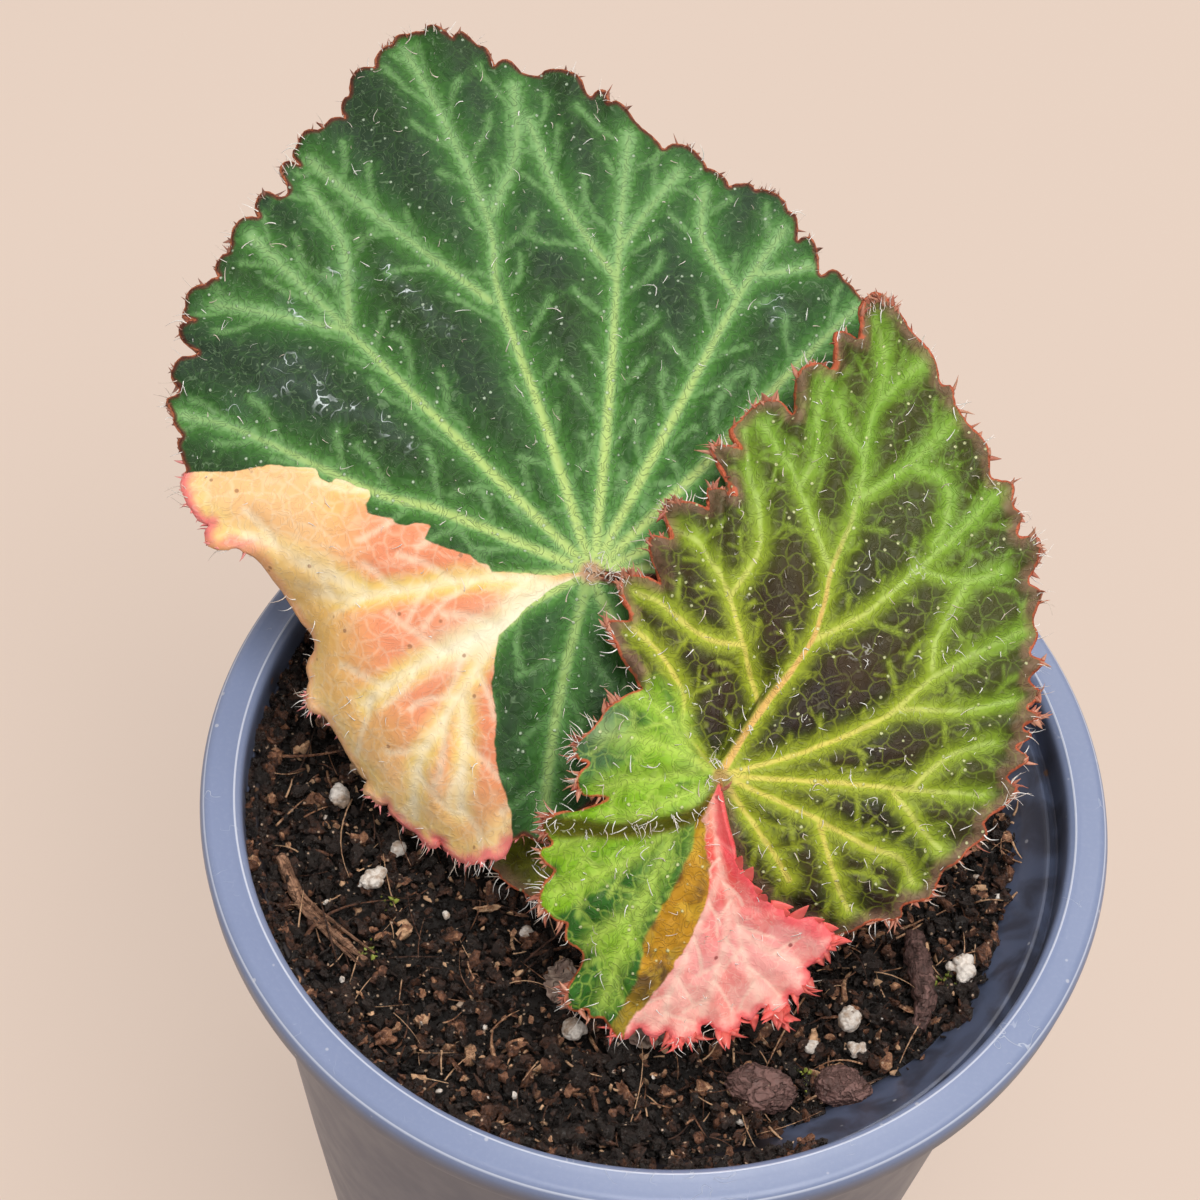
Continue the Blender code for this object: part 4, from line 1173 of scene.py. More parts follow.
def aroundHub(leaf, places):
    return np.linalg.norm(places - np.array(leaf["joint"]) * mm, axis=1) < 2.5 * mm


def turnAndReachOf(leaf, places):  # of places in space, in the leaf's own plane
    right, back, _ = leaf["axes"]
    local = places / mm - np.array(leaf["joint"])
    turn, reach = turnAndReach(np.column_stack([local @ right, local @ back]))
    return turn % 360, reach


def alongCrease(leaf, places):
    turn, reach = turnAndReachOf(leaf, places)
    past = pastFold(leaf, turn, reach)
    return (past > -0.5) & (past < 1.6) & (reach > 3)


def alongMidrib(leaf, places):
    turn, reach = turnAndReachOf(leaf, places)
    return (np.abs(turn - 65) < 5) & (reach > 2) & (reach < 14)


makeBlade(largeLeaf, "largeBlade", "leaf_large_blade", largeTopMaterial(),
          underMaterial("largeLeafUnder", (0.16, 0.17, 0.06), (0.42, 0.16, 0.09)), largeMarks)
smallTop = smallTopMaterial()
smallUnder = underMaterial("smallLeafUnder", (0.20, 0.12, 0.05), (0.45, 0.14, 0.07))
makeBlade(smallLeaf, "smallBlade", "leaf_small_blade", smallTop, smallUnder, smallMarks)
makeBlade(youngLeaf, "youngBlade", "leaf_young_blade", smallTop, smallUnder, youngMarks)

whiteHair = hairMaterial("whiteHair", (0.74, 0.62, 0.52), (0.95, 0.93, 0.90), 0.4)
redTooth = toothMaterial("redTooth", 252, 330, (0.84, 0.06, 0.07), ((0.34, 0.050, 0.030), (0.56, 0.25, 0.16)))
maroonTooth = toothMaterial("maroonTooth", 168, 260, (0.84, 0.24, 0.25),
                            ((0.10, 0.02, 0.018), (0.28, 0.07, 0.04)))
makeTeeth(largeLeaf, "largeTeeth", "leaf_dark", maroonTooth,
          {"count": 320, "length": (0.4, 1.4), "width": (0.16, 0.38), "lift": 0.2})
makeTeeth(smallLeaf, "smallTeeth", "leaf_net", redTooth,
          {"count": 420, "length": (0.5, 1.9), "width": (0.2, 0.55), "lift": 0.35, "broad": (262, 330, 1.9)})
makeNotchTeeth(smallLeaf, "notchTeeth", "leaf_net", redTooth,
               {"places": (0.46, 0.53, 0.6, 0.655, 0.71, 0.76, 0.82, 0.88, 0.94), "sunk": 0.35,
                "length": (1.3, 2.9), "width": (0.55, 1.0)})
makeTeeth(youngLeaf, "youngTeeth", "leaf_net", redTooth,
          {"count": 40, "length": (0.4, 0.9), "width": (0.14, 0.28), "lift": 0.2})
makeHairs(largeLeaf, "largeHairs",
          {"slot": "leaf_dark", "edge": 260, "surface": 480, "tufts": ((aroundHub, 30),)})
makeHairs(smallLeaf, "smallHairs",
          {"slot": "leaf_net", "edge": 340, "surface": 680,
           "tufts": ((aroundHub, 20), (alongCrease, 46), (alongMidrib, 16))})
makeHairs(youngLeaf, "youngHairs", {"slot": "leaf_net", "edge": 50, "surface": 25, "tufts": ()})
print("Leaves finished")


# The pot

potShape = {
    "steps": 224, "drainHoles": 6, "drainRadius": 4, "drainCircle": 27,
    "lip": (48.0, 92.4),  # radius and height where the inner slope ends
    "highlightLines": (50.85, 54.55),  # radii in mm of the rim's edges, where thin highlight lines are painted
    "soiledAndShadedWay": (-0.848, -0.53, 0),  # towards the side where mix covers the inner step, which is painted near-black there: soil, with painted shade between the crumbs
    "bands": {  # where each finish begins and where it is full, in metres of height unless named otherwise
        "top": (0.0970, 0.0974), "rimFoot": (0.0915, 0.0925), "mouth": (0.0976, 0.0945),
        "floor": (0.0012, 0.0022), "wallDepth": (0.0002, -0.0002), "soiledAndShadedSide": (0.004, 0.009),
        "soiledAndShaded": (0.0945, 0.0925), "soiledAndShadedRadius": (0.0496, 0.0493), "grain": (0.090, 0.093),
        "outside": (0.0975, 0.0935), "dust": (0.088, 0.092), "specks": (0.0975, 0.0955),
        "fine": (0.090, 0.096), "highlightLine": (0.00016, 0.00006)},
    "outerWall": {"slope": 0.1104, "foot": 0.0390, "rimStep": 0.0010},  # its radius by the height
    "profile": [  # radius and height in mm, from the floor's middle up the inside and down the outside
        (0, 2.4), (20, 2.4), (36.2, 2.4), (37.0, 2.7), (37.6, 3.8), (42.6, 46.3), (47.4, 87.2), (47.3, 88.3),
        (46.6, 88.2), (41.6, 83.3), (40.7, 83.2), (40.3, 83.7), (40.45, 84.6), (41.0, 85.3), (44.6, 88.9),
        (47.8, 92.1), (48.0, 92.45), (48.25, 92.65), (48.6, 92.6), (48.85, 92.3), (49.3, 92.15), (49.6, 92.4),
        (49.75, 94.2), (49.9, 96.7), (50.05, 97.35), (50.4, 97.75), (50.9, 98.0), (51.3, 97.9), (51.7, 97.75),
        (53.6, 97.75), (54.1, 97.65), (54.55, 97.3), (54.85, 96.8), (55.0, 96.2), (54.75, 93.4), (54.6, 92.8),
        (54.2, 92.5), (53.6, 92.5), (53.3, 92.7), (53.3, 95.6), (53.0, 96.0), (51.2, 95.7), (50.75, 95.4),
        (50.55, 94.8), (47.3, 64), (43.6, 30), (40.6, 4.2), (40.0, 1.2), (39.5, 0.4), (38.6, 0), (34.5, 0),
        (34.2, 0.5), (20, 0.5), (0, 0.5)],
}
potColours = {
    "plastic": (0.198, 0.248, 0.405), "lighter": (0.218, 0.268, 0.430), "grain": (0.34, 0.39, 0.52),
    # inside and outside are painted shade, grime and soil are partly real and partly painted shade, line is a
    # painted highlight
    "inside": (0.030, 0.036, 0.060), "grimeAndShade": (0.022, 0.017, 0.017), "soilAndShade": (0.010, 0.007, 0.006),
    "outside": (0.062, 0.062, 0.094), "line": (0.80, 0.84, 0.95), "scuff": (0.60, 0.64, 0.74),
    "dust": (0.66, 0.66, 0.70), "speck": (0.16, 0.08, 0.04),
}


def potMaterial():
    made = newMaterial("potPlastic")
    c, place, bands, wall = potColours, objectPlace(), potShape["bands"], potShape["outerWall"]
    height = addNode("SeparateXYZ", {0: place}).outputs[2]
    radius = addNode("VectorMath", {0: vectorMaths("MULTIPLY", {0: place, 1: (1, 1, 0)})}, operation="LENGTH")
    radius = radius.outputs["Value"]
    soiledAndShadedSide = addNode("VectorMath", {0: place, 1: potShape["soiledAndShadedWay"]}, operation="DOT_PRODUCT")
    onTop = span(height, *bands["top"])
    grain = noiseAt(place, 1800, 2)
    outerWall = plus(plus(times(height, wall["slope"]), wall["foot"]),
                     span(height, *bands["rimFoot"], 0, wall["rimStep"]))
    within = times(span(minus(radius, outerWall), *bands["wallDepth"]),  # the pot's inside, up to its top
                   span(height, *bands["mouth"]), span(height, *bands["floor"]))
    soiledAndShaded = times(span(soiledAndShadedSide.outputs["Value"], *bands["soiledAndShadedSide"]), span(height, *bands["soiledAndShaded"]),
                   span(radius, *bands["soiledAndShadedRadius"]))
    rings = noiseAt(addNode("CombineXYZ", {0: radius}).outputs[0], 1500, 1)
    scuffs = times(span(apart(noiseAt(wobble(place, 260, 0.003), 300, 1.5, 0.9), 0.5), 0.012, 0.003),
                   times(span(noiseAt(place, 130, 3, 0.6, 0.65), 0.55, 0.66), onTop))
    base = painted(
        blend(span(noiseAt(place, 35, 3), 0.3, 0.7), c["plastic"], c["lighter"]),
        (times(span(grain, 0.45, 0.75), span(height, *bands["grain"], 0.0, 0.10)), c["grain"]),
        # painted shade: the whole inside of the pot is darkened
        (times(within, 0.62), c["inside"]),
        # dark blotches inside the pot: partly real grime, partly painted shade
        (times(within, span(noiseAt(place, 210, 4, 0.5), 0.40, 0.66), 0.6), c["grimeAndShade"]),
        # near-black on the inner step on one side: partly the mix that covers it, partly painted shade
        # between its crumbs
        (times(within, soiledAndShaded, 0.93), c["soilAndShade"]),
        # painted shade: the pot's outside below the rim is darkened, as the rim shades it
        (times(span(height, *bands["outside"]), minus(1.0, within), 0.90), c["outside"]),
        # painted highlights: thin pale lines along the rim's inner and outer edges
        *((times(span(apart(radius, line * mm), *bands["highlightLine"]), onTop, 0.62), c["line"])
          for line in potShape["highlightLines"]),
        (times(scuffs, 0.55), c["scuff"]),
        (times(speckles(place, 520, 0.17, 0.80), span(height, *bands["dust"]), 0.5), c["dust"]),
        (times(speckles(place, 330, 0.2, 0.90), span(height, *bands["specks"]), times(within, 0.85)),
         c["speck"]))
    setShader(base, plus(span(noiseAt(place, 240, 3), 0.3, 0.7, 0.32, 0.38), times(scuffs, 0.25)))
    fine = times(plus(times(grain, 0.25), times(rings, 0.4)), span(height, *bands["fine"], 0.15, 1.0))
    bump(plus(fine, scuffs), 0.00005, 0.7)
    return made


def makePot():
    profile = potShape["profile"]
    deselectAll()
    bpy.ops.mesh.primitive_circle_add(vertices=len(profile), radius=1, fill_type="NOTHING")
    pot = bpy.context.object
    shape = bmesh.new()
    shape.from_mesh(pot.data)
    shape.verts.ensure_lookup_table()
    for vertex, (radius, height) in zip(shape.verts, profile):
        vertex.co = (radius * mm, 0, height * mm)
    shape.edges.remove(shape.edges.get((shape.verts[0], shape.verts[-1])))
    shape.to_mesh(pot.data)
    shape.free()
    editAll(pot)
    bpy.ops.mesh.spin(steps=potShape["steps"], angle=math.tau, center=(0, 0, 0), axis=(0, 0, 1))
    closeSkin(pot, 0.01)
    away = potShape["drainCircle"] * mm
    for i in range(potShape["drainHoles"]):
        angle = math.tau * i / potShape["drainHoles"]
        deselectAll()
        bpy.ops.mesh.primitive_cylinder_add(vertices=40, radius=potShape["drainRadius"] * mm, depth=8 * mm,
                                            location=(away * math.cos(angle), away * math.sin(angle), 1 * mm))
        cutter = bpy.context.object
        applyTransform(cutter)
        applyModifier(pot, "BOOLEAN", operation="DIFFERENCE", solver="EXACT", object=cutter)
        bpy.data.objects.remove(cutter)
    finishPiece(pot, "nurseryPot", potMaterial(), "pot", 38)


makePot()


# The potting mix

mixShape = {
    "height": 90.5, "slope": 0.03, "lumps": 0.5, "lumpWidth": 9, "hollow": (23, -37, 3.6, 8),
    "edgeWave": 1.2, "edgeLimit": 0.3,  # how far the edge wanders in mm, and at most how far outwards
    "cells": 200, "grit": 0.55, "sunk": 0.95, "middle": 46, "seed": 3,
    "skirt": ((40.6, 85.0), (40.2, 83.6), (41.4, 82.6), (46.6, 87.2), (37.2, 4.0), (36.0, 2.7)),
    "crumbs": {  # number, size in mm, roundness of the model, how far proud of the surface, lightness
        "mixFine": {"count": 4300, "radius": (0.25, 0.6), "detail": 1, "rough": 0.8,
                    "lift": (-0.5, 0.7), "tone": (-0.12, 1.36)},
        "mixMedium": {"count": 2200, "radius": (0.5, 1.2), "detail": 2, "rough": 0.9,
                      "lift": (-0.7, 0.7), "tone": (-0.08, 1.08), "wide": (0.6, 1), "thick": (0.5, 0.95)},
        "mixCoarse": {"count": 150, "radius": (1.1, 2.0), "detail": 3, "rough": 1.1,
                      "lift": (-1.0, 0.2), "tone": (0, 0.8)},
        "mixFlakes": {"count": 1000, "radius": (0.7, 1.7), "detail": 2, "rough": 1.1,
                      "lift": (-0.4, 0.7), "tone": (0.05, 1.12), "wide": (0.25, 0.5), "thick": (0.10, 0.2)},
    },
    "spill": {"count": 1250, "radius": (0.35, 1.0), "detail": 2, "rough": 1.0, "tone": (0, 0.9),
              "angles": (120, 298), "inner": 46.8, "width": 2.9, "step": 48.6},
    "fibres": {"count": 620, "least": 1.2, "width": (0.05, 0.17), "tone": (0.5, 1.15), "limit": 47},
    "moss": {"radius": (0.16, 0.42), "detail": 1, "rough": 0.9, "tone": (0, 1), "each": 11, "spread": 0.7,
             "places": ((37.4, -18.0), (35.3, -18.6), (20.6, -31.6), (-32.3, -23.6), (-30.5, -16.1))},
}


def mixHeight(x, y):  # in mm, the same surface as the solid's top
    hollowX, hollowY, depth, spread = mixShape["hollow"]
    away = ((x - hollowX) ** 2 + (y - hollowY) ** 2) / (2 * spread**2)
    lumps = noise.noise(Vector((x, y, 0)) / mixShape["lumpWidth"]) * mixShape["lumps"]
    return mixShape["height"] - mixShape["slope"] * x - depth * math.exp(-away) + lumps


def mixEdge(x, y):  # how far out the mix reaches on the ledge that way, in mm
    angle = math.atan2(y, x)
    wave = noise.noise(Vector((math.cos(angle) * 4, math.sin(angle) * 4, 7))) * mixShape["edgeWave"]
    height = mixHeight(mixShape["middle"] * math.cos(angle), mixShape["middle"] * math.sin(angle))
    radius, top = potShape["lip"]
    return radius - (top - height) + min(wave, mixShape["edgeLimit"])


def soilMaterial(name):
    made = newMaterial(name)
    place = objectPlace()
    tone = plus(attribute("tone"), times(minus(noiseAt(place, 900, 4, 0.5, 0.75), 0.5), 1.1))
    base = ramp(tone, ((0.0, (0.004, 0.0025, 0.002)), (0.38, (0.014, 0.007, 0.005)),
                       (0.60, (0.055, 0.022, 0.012)), (0.76, (0.155, 0.066, 0.036)),
                       (0.90, (0.33, 0.160, 0.085)), (1.0, (0.62, 0.38, 0.22))))
    # painted shade and light: what lies below the mix's surface is darkened and what stands proud lightened
    depth = span(attribute("lift"), -0.8, 0.8, 0.12, 1.40)
    base = blend(1.0, base, addNode("CombineColor", {0: depth, 1: depth, 2: depth}).outputs[0], "MULTIPLY")
    glint = most(speckles(place, 1150, 0.24, 0.78), speckles(place, 640, 0.16, 0.80))
    setShader(blend(times(glint, 0.9), base, (0.74, 0.52, 0.36)),
              span(noiseAt(place, 1300, 2), 0.42, 0.62, 0.18, 0.70), 0.55)
    bump(noiseAt(wobble(place, 900, 0.0006), 2000, 4, 0.6, 0.75), 0.00055)
    return made


def mossMaterial():
    made = newMaterial("mossGreen")
    tone = span(noiseAt(objectPlace(), 1500, 2), 0.35, 0.65)
    setShader(blend(tone, (0.07, 0.09, 0.015), (0.27, 0.31, 0.05)), 0.5)
    return made


def makeMixBody():
    cells = mixShape["cells"]
    deselectAll()
    bpy.ops.mesh.primitive_grid_add(x_subdivisions=cells, y_subdivisions=cells, size=2)
    body = bpy.context.object
    x, y, _ = getPoints(body.data).T
    points = []
    for a, b in zip(x * np.sqrt(1 - y * y / 2), y * np.sqrt(1 - x * x / 2)):
        out = min(1, math.hypot(a, b))
        reach = mixEdge(a, b) if out > 0.01 else mixShape["middle"]
        px, py = a * reach, b * reach
        grit = noise.fractal(Vector((px, py, 0)) / 1.7, 0.9, 2.1, 4) * mixShape["grit"] * (1 - out**12)
        points.append((px, py, mixHeight(px, py) + grit - mixShape["sunk"]))
    setPoints(body.data, np.array(points) * mm)
    # a lift below the surface, so the mix's body between the crumbs gets painted shade
    setAttributes(body.data, tone=np.full(len(points), 0.25), lift=np.full(len(points), -0.4))
    editAll(body)
    bpy.ops.mesh.select_mode(type="EDGE")
    bpy.ops.mesh.select_all(action="DESELECT")
    bpy.ops.mesh.select_non_manifold(extend=False, use_wire=False, use_boundary=True, use_multi_face=False,
                                     use_non_contiguous=False, use_verts=False)
    for reach, height in mixShape["skirt"]:  # the open edge is drawn down the pot's inside to its floor
        bpy.ops.mesh.extrude_edges_move()
        shape = bmesh.from_edit_mesh(body.data)
        for vertex in [v for v in shape.verts if v.select]:
            out = math.hypot(vertex.co.x, vertex.co.y)
            vertex.co = (vertex.co.x * reach * mm / out, vertex.co.y * reach * mm / out, height * mm)
        bmesh.update_edit_mesh(body.data)
    bpy.ops.mesh.edge_face_add()
    bpy.ops.mesh.select_all(action="SELECT")
    bpy.ops.mesh.normals_make_consistent(inside=False)
    bpy.ops.object.mode_set(mode="OBJECT")
    finishPiece(body, "mixBody", soilMaterial("mixGround"), "potting_mix")


def crumbModel(subdivisions, roughness, seed):  # one uneven crumb of radius 1
    deselectAll()
    bpy.ops.mesh.primitive_ico_sphere_add(subdivisions=subdivisions, radius=1)
    points, faces = takeModel(bpy.context.object)
    shift = Vector((seed * 3.7, seed * 1.3, 0))
    for i, point in enumerate(points):
        bulge = noise.noise(Vector(point) * 1.1 + shift) + 0.5 * noise.noise(Vector(point) * 2.7 + shift)
        points[i] = point * (1 + roughness * bulge)
    return points, faces


def randomTurns(rng, count):
    a, b, c = rng.random((3, count))
    w, x = np.sqrt(1 - a) * np.sin(2 * np.pi * b), np.sqrt(1 - a) * np.cos(2 * np.pi * b)
    y, z = np.sqrt(a) * np.sin(2 * np.pi * c), np.sqrt(a) * np.cos(2 * np.pi * c)
    rows = ((1 - 2 * (y * y + z * z), 2 * (x * y - z * w), 2 * (x * z + y * w)),
            (2 * (x * y + z * w), 1 - 2 * (x * x + z * z), 2 * (y * z - x * w)),
            (2 * (x * z - y * w), 2 * (y * z + x * w), 1 - 2 * (x * x + y * y)))
    return np.array(rows).transpose(2, 0, 1)


def makeCrumbs(name, facts, places, seed, material):
    rng = np.random.default_rng(mixShape["seed"] + seed)
    models = [crumbModel(facts["detail"], facts["rough"], seed + i) for i in range(6)]
    count, each = len(places), len(models[0][0])
    least, greatest = facts["radius"]
    size = rng.uniform(0, 1, count) ** 1.6 * (greatest - least) + least
    wide = rng.uniform(*facts.get("wide", (0.5, 1)), count)
    thick = rng.uniform(*facts.get("thick", (0.35, 0.85)), count)
    size = size[:, None] * np.column_stack([np.ones(count), wide, thick])
    turns = randomTurns(rng, count)
    points = np.vstack([(models[i % 6][0] * (size[i] * mm)) @ turns[i].T + places[i] for i in range(count)])
    crumbs = meshFrom(name, points, [tuple(v + i * each for v in face) for i in range(count)
                                     for face in models[i % 6][1]])
    low, high = facts["tone"]
    ground = np.array([mixHeight(x / mm, y / mm) for x, y, _ in places])
    setAttributes(crumbs.data, tone=np.repeat(rng.beta(1.5, 2.3, count) * (high - low) + low, each),
                  lift=points[:, 2] / mm - np.repeat(ground, each))
    finishPiece(crumbs, name, material, angle=38)


def placesOnMix(rng, count, lift):
    angle = rng.uniform(0, math.tau, count)
    out = np.sqrt(rng.uniform(0, 1, count))
    places = np.zeros((count, 3))
    for i in range(count):
        a, b = math.cos(angle[i]), math.sin(angle[i])
        reach = mixEdge(a, b) * out[i]
        places[i] = (a * reach, b * reach, mixHeight(a * reach, b * reach) + rng.uniform(*lift))
    return places * mm


def placesOnLedge(rng, facts):  # where the mix has spilled over the pot's inner step, up to the rim
    angle = np.radians(rng.uniform(*facts["angles"], facts["count"]))
    out = facts["inner"] + facts["width"] * rng.random(facts["count"])
    height = potShape["lip"][1] + rng.uniform(-0.5, 0.5, facts["count"])
    height += 0.25 * np.maximum(out - facts["step"], 0)
    return np.column_stack([np.cos(angle) * out, np.sin(angle) * out, height]) * mm


def makeFibres(facts, material):
    rng = np.random.default_rng(mixShape["seed"] + 50)
    count = facts["count"]
    roots = placesOnMix(rng, count, (-0.1, 0.9))
    turn = rng.uniform(0, math.tau, count)
    heads = np.column_stack([np.cos(turn), np.sin(turn), rng.normal(0.0, 0.16, count)])
    lengths = rng.gamma(2.2, 1.5, count) * mm + facts["least"] * mm
    ends = roots + heads * lengths[:, None]
    heads[np.hypot(ends[:, 0], ends[:, 1]) > facts["limit"] * mm] *= -1  # turned back from the pot's wall
    bends = np.column_stack([-np.sin(turn), np.cos(turn), rng.normal(0, 0.25, count)])
    bends = bends * (lengths * rng.normal(0, 0.3, count))[:, None]
    widths = rng.uniform(*facts["width"], count) * mm
    widths[::19] *= 2.6  # a few thick ones
    makeStrands("mixFibres", "potting_mix", material, strandModel(4, 6, 0.35), roots, heads, lengths, widths,
                bends, 1, rng.normal(0, 0.10, count) * lengths, tone=rng.uniform(*facts["tone"], count),
                lift=np.full(count, 0.5))


def makeMoss(rng, facts):  # little tufts on the mix
    spots = [(x + rng.normal(0, facts["spread"]), y + rng.normal(0, facts["spread"]))
             for x, y in facts["places"] for _ in range(facts["each"])]
    places = np.array([(x, y, mixHeight(x, y) + 0.6) for x, y in spots]) * mm
    makeCrumbs("mixMoss", facts, places, 800, mossMaterial())


makeMixBody()
crumbFinish = soilMaterial("mixCrumb")
placing = np.random.default_rng(mixShape["seed"] + 60)
for i, (name, facts) in enumerate(mixShape["crumbs"].items()):
    makeCrumbs(name, facts, placesOnMix(placing, facts["count"], facts["lift"]), 100 * (i + 1),
               crumbFinish)
makeCrumbs("mixSpill", mixShape["spill"], placesOnLedge(placing, mixShape["spill"]), 700,
           crumbFinish)
makeFibres(mixShape["fibres"], crumbFinish)
makeMoss(placing, mixShape["moss"])
print("Potting mix made")


# The stalks and the rhizome

stemShape = {  # by the piece's name: its CAD node, number of hairs, line and radii in mm
    "rhizomeStem": {"node": "rhizome", "hairs": 60, "radii": (1.7, 2.4, 2.4, 1.5),
                    "line": [(-6.5, 10, 91.6), (-2.5, 4.3, 93.0), (3.2, -3.3, 92.9), (8, -10.5, 91.3)]},
    "largeStalk": {"node": "leaf_large_stalk", "hairs": 150, "radii": (2.1, 1.8, 1.7, 1.6, 1.5, 1.7),
                   "line": [(-2.5, 4.3, 94.5), (-3.2, 5.4, 97), (-4, 7, 101), (-8, 13.4, 111),
                            (-10.3, 13.7, 119.8), (-10.6, 13.3, 121.6)]},
    "smallStalk": {"node": "leaf_small_stalk", "hairs": 130, "radii": (1.9, 1.6, 1.5, 1.5, 1.4, 1.5),
                   "line": [(3.2, -3.3, 94.5), (4.2, -3.3, 97), (5.5, -3.5, 101), (7.8, -8.3, 110),
                            (6.7, -10.2, 116.2), (6.4, -10.5, 117.6)]},
    "youngStalk": {"node": "leaf_young_stalk", "hairs": 30, "radii": (0.9, 0.8, 0.75, 0.75),
                   "line": [(0.4, 0.4, 95.2), (-3, -1.2, 96.8), (-6.5, -3.4, 98.1), (-8.5, -4.5, 98.5)]},
}


def stemMaterial():
    made = newMaterial("stemSkin")
    place = objectPlace()
    streak = noiseAt(objectPlace((1, 1, 0.25)), 900, 3, 0.5)
    base = painted(blend(span(streak, 0.35, 0.65), (0.30, 0.075, 0.045), (0.42, 0.17, 0.09)),
                   (times(span(noiseAt(place, 260, 2), 0.45, 0.6), 0.5), (0.36, 0.25, 0.10)),
                   (times(speckles(place, 900, 0.25, 0.6), 0.6), (0.72, 0.50, 0.38)))
    setShader(base, 0.5)
    bump(plus(streak, noiseAt(place, 1600, 2)), 0.00025, 0.9)
    return made


def makeTube(line, radii, sides=28, rough=0.06, step=0.35):  # an uneven rod bent along a line
    path = smoothPath(line, step)
    reach = np.interp(np.linspace(0, 1, len(path)), np.linspace(0, 1, len(radii)), radii)
    ahead = unit(np.gradient(path, axis=0))
    guide = np.array([0.31, 0.17, 0.93] if abs(ahead[0][2]) < 0.8 else [1.0, 0.2, 0.1])
    side = unit(guide - (ahead @ guide)[:, None] * ahead)
    across = np.cross(ahead, side)
    tube = tallRod(sides, len(path) - 2)
    points = getPoints(tube.data)
    row = np.clip(np.rint(points[:, 2] * (len(path) - 1)).astype(int), 0, len(path) - 1)
    made = path[row] + reach[row][:, None] * (points[:, :1] * side[row] + points[:, 1:2] * across[row])
    for i, point in enumerate(made):
        push = noise.noise(Vector(point) / 1.1) + 0.6 * noise.noise(Vector(point) / 0.45)
        made[i] = path[row[i]] + (point - path[row[i]]) * (1 + rough * push)
    setPoints(tube.data, made * mm)
    setAttributes(tube.data, along=row * step, around=np.arctan2(points[:, 1], points[:, 0]))
    return tube


def makeStemHairs(stems):
    rng = np.random.default_rng(41)
    roots, heads = [], []
    for stem, count in stems:
        faces = [face for face in stem.data.polygons if face.center.z > 92 * mm]
        for i in rng.choice(len(faces), count):
            roots.append(faces[i].center)
            heads.append(np.array(faces[i].normal) + rng.normal(0, 0.3, 3))
    count = len(roots)
    lengths = rng.uniform(0.8, 2.0, count) * mm
    bends = unit(rng.normal(0, 1, (count, 3))) * (lengths * rng.uniform(0.1, 0.5, count))[:, None]
    makeStrands("stemHairs", "stalk", whiteHair, strandModel(3, 4, 0.25), np.array(roots),
                unit(np.array(heads)), lengths, np.full(count, 0.06 * mm), bends, tone=rng.random(count))


stemSkin = stemMaterial()
stems = []
for name, facts in stemShape.items():
    stem = makeTube(facts["line"], facts["radii"])
    finishPiece(stem, name, stemSkin, facts["node"])
    stems.append((stem, facts["hairs"]))
makeStemHairs(stems)
print("Stems made")


# Loose pieces on the mix

looseShape = {
    "twig": [(-44.2, -12.2, 0.9), (-41.1, -17.6, 0.5), (-36.6, -21.4, 0.7), (-32.3, -24.5, 0.3)],
    "splinters": [(0.5, 0.7, 0.25, 0.30), (-0.4, -0.6, 0.3, 0.26), (0.2, 0.9, 0.5, 0.18)],  # shift and size
    "strip": [(32.4, -12.1, 0.5), (33.2, -16.5, 0.9), (34.1, -21, 0.7), (33.6, -24.8, 0.4)],
    "twigRadii": (0.85, 0.62, 0.55, 0.3), "stripRadii": (1.1, 1.5, 1.4, 0.8), "voxel": 0.11,
    "lumps": [(15.3, -34.2, 3.7, 1), (24.9, -32.3, 3.0, 2)],  # place, radius and seed
    "grains": [  # place, radius, how many rounded grains each is grown from, and seed
        (-38.3, -2.6, 1.5, 3, 20), (-30.4, -8.8, 1.2, 3, 21), (-33, -13.2, 1.6, 7, 22),
        (-13.9, -18.2, 1, 3, 23), (-7.2, -30.4, 1.6, 3, 24), (25.2, -24.5, 1.6, 4, 25),
        (26.4, -27.6, 1.1, 8, 26), (20.9, -27.9, 1, 3, 27), (38.5, -16.4, 1.8, 8, 28)],
    "scales": [(-9.2, -24.6, 3, 80), (1.6, -30.6, 2.2, 15)],  # place, half length and turn
    "bits": {"count": 60, "radius": (0.22, 0.6), "detail": 2, "rough": 0.6, "tone": (0.5, 1),
             "lift": (0.2, 0.7)},
}


def barkMaterial(name, dark, light, grain, wrinkle):  # grain stretches the streaks along a piece
    made = newMaterial(name)
    place, around = objectPlace(), attribute("around")
    own = addNode("CombineXYZ", {0: times(attribute("along"), 0.25), 1: maths("SINE", around),
                                 2: maths("COSINE", around)}).outputs[0]
    patch = noiseAt(place, 420, 4, 0.5, 0.7)
    tone = plus(times(noiseAt(own, grain, 4, 0.5, 0.65), 0.6), times(patch, 0.4))
    groove = span(apart(noiseAt(wobble(place, 500, 0.001), wrinkle, 3, 0.8), 0.5), 0.09, 0.01)
    base = painted(blend(span(tone, 0.38, 0.62), dark, light),
                   # painted shade: the wrinkles' grooves are darkened
                   (times(groove, 0.45), tuple(v * 0.3 for v in dark)),
                   (times(speckles(place, 1300, 0.22, 0.88), 0.4), (0.62, 0.46, 0.34)))
    setShader(base, span(patch, 0.3, 0.7, 0.45, 0.85), 0.35)
    bump(minus(tone, times(groove, 0.5)), 0.0005)
    return made


def perliteMaterial():
    made = newMaterial("perliteWhite")
    place = objectPlace()
    fine = noiseAt(place, 1800, 3, 0.3, 0.7)
    patch = span(noiseAt(place, 420, 4, 0.4, 0.7), 0.38, 0.56)
    base = painted(blend(patch, (0.40, 0.29, 0.21), (0.82, 0.75, 0.68)),
                   (times(span(fine, 0.48, 0.35), 0.35), (0.50, 0.42, 0.36)),
                   (times(speckles(place, 900, 0.25, 0.85), 0.7), (0.10, 0.055, 0.03)))
    setShader(base, 0.7)
    bump(fine, 0.00025)
    return made


def onMix(points):
    return [(x, y, mixHeight(x, y) + above) for x, y, above in points]


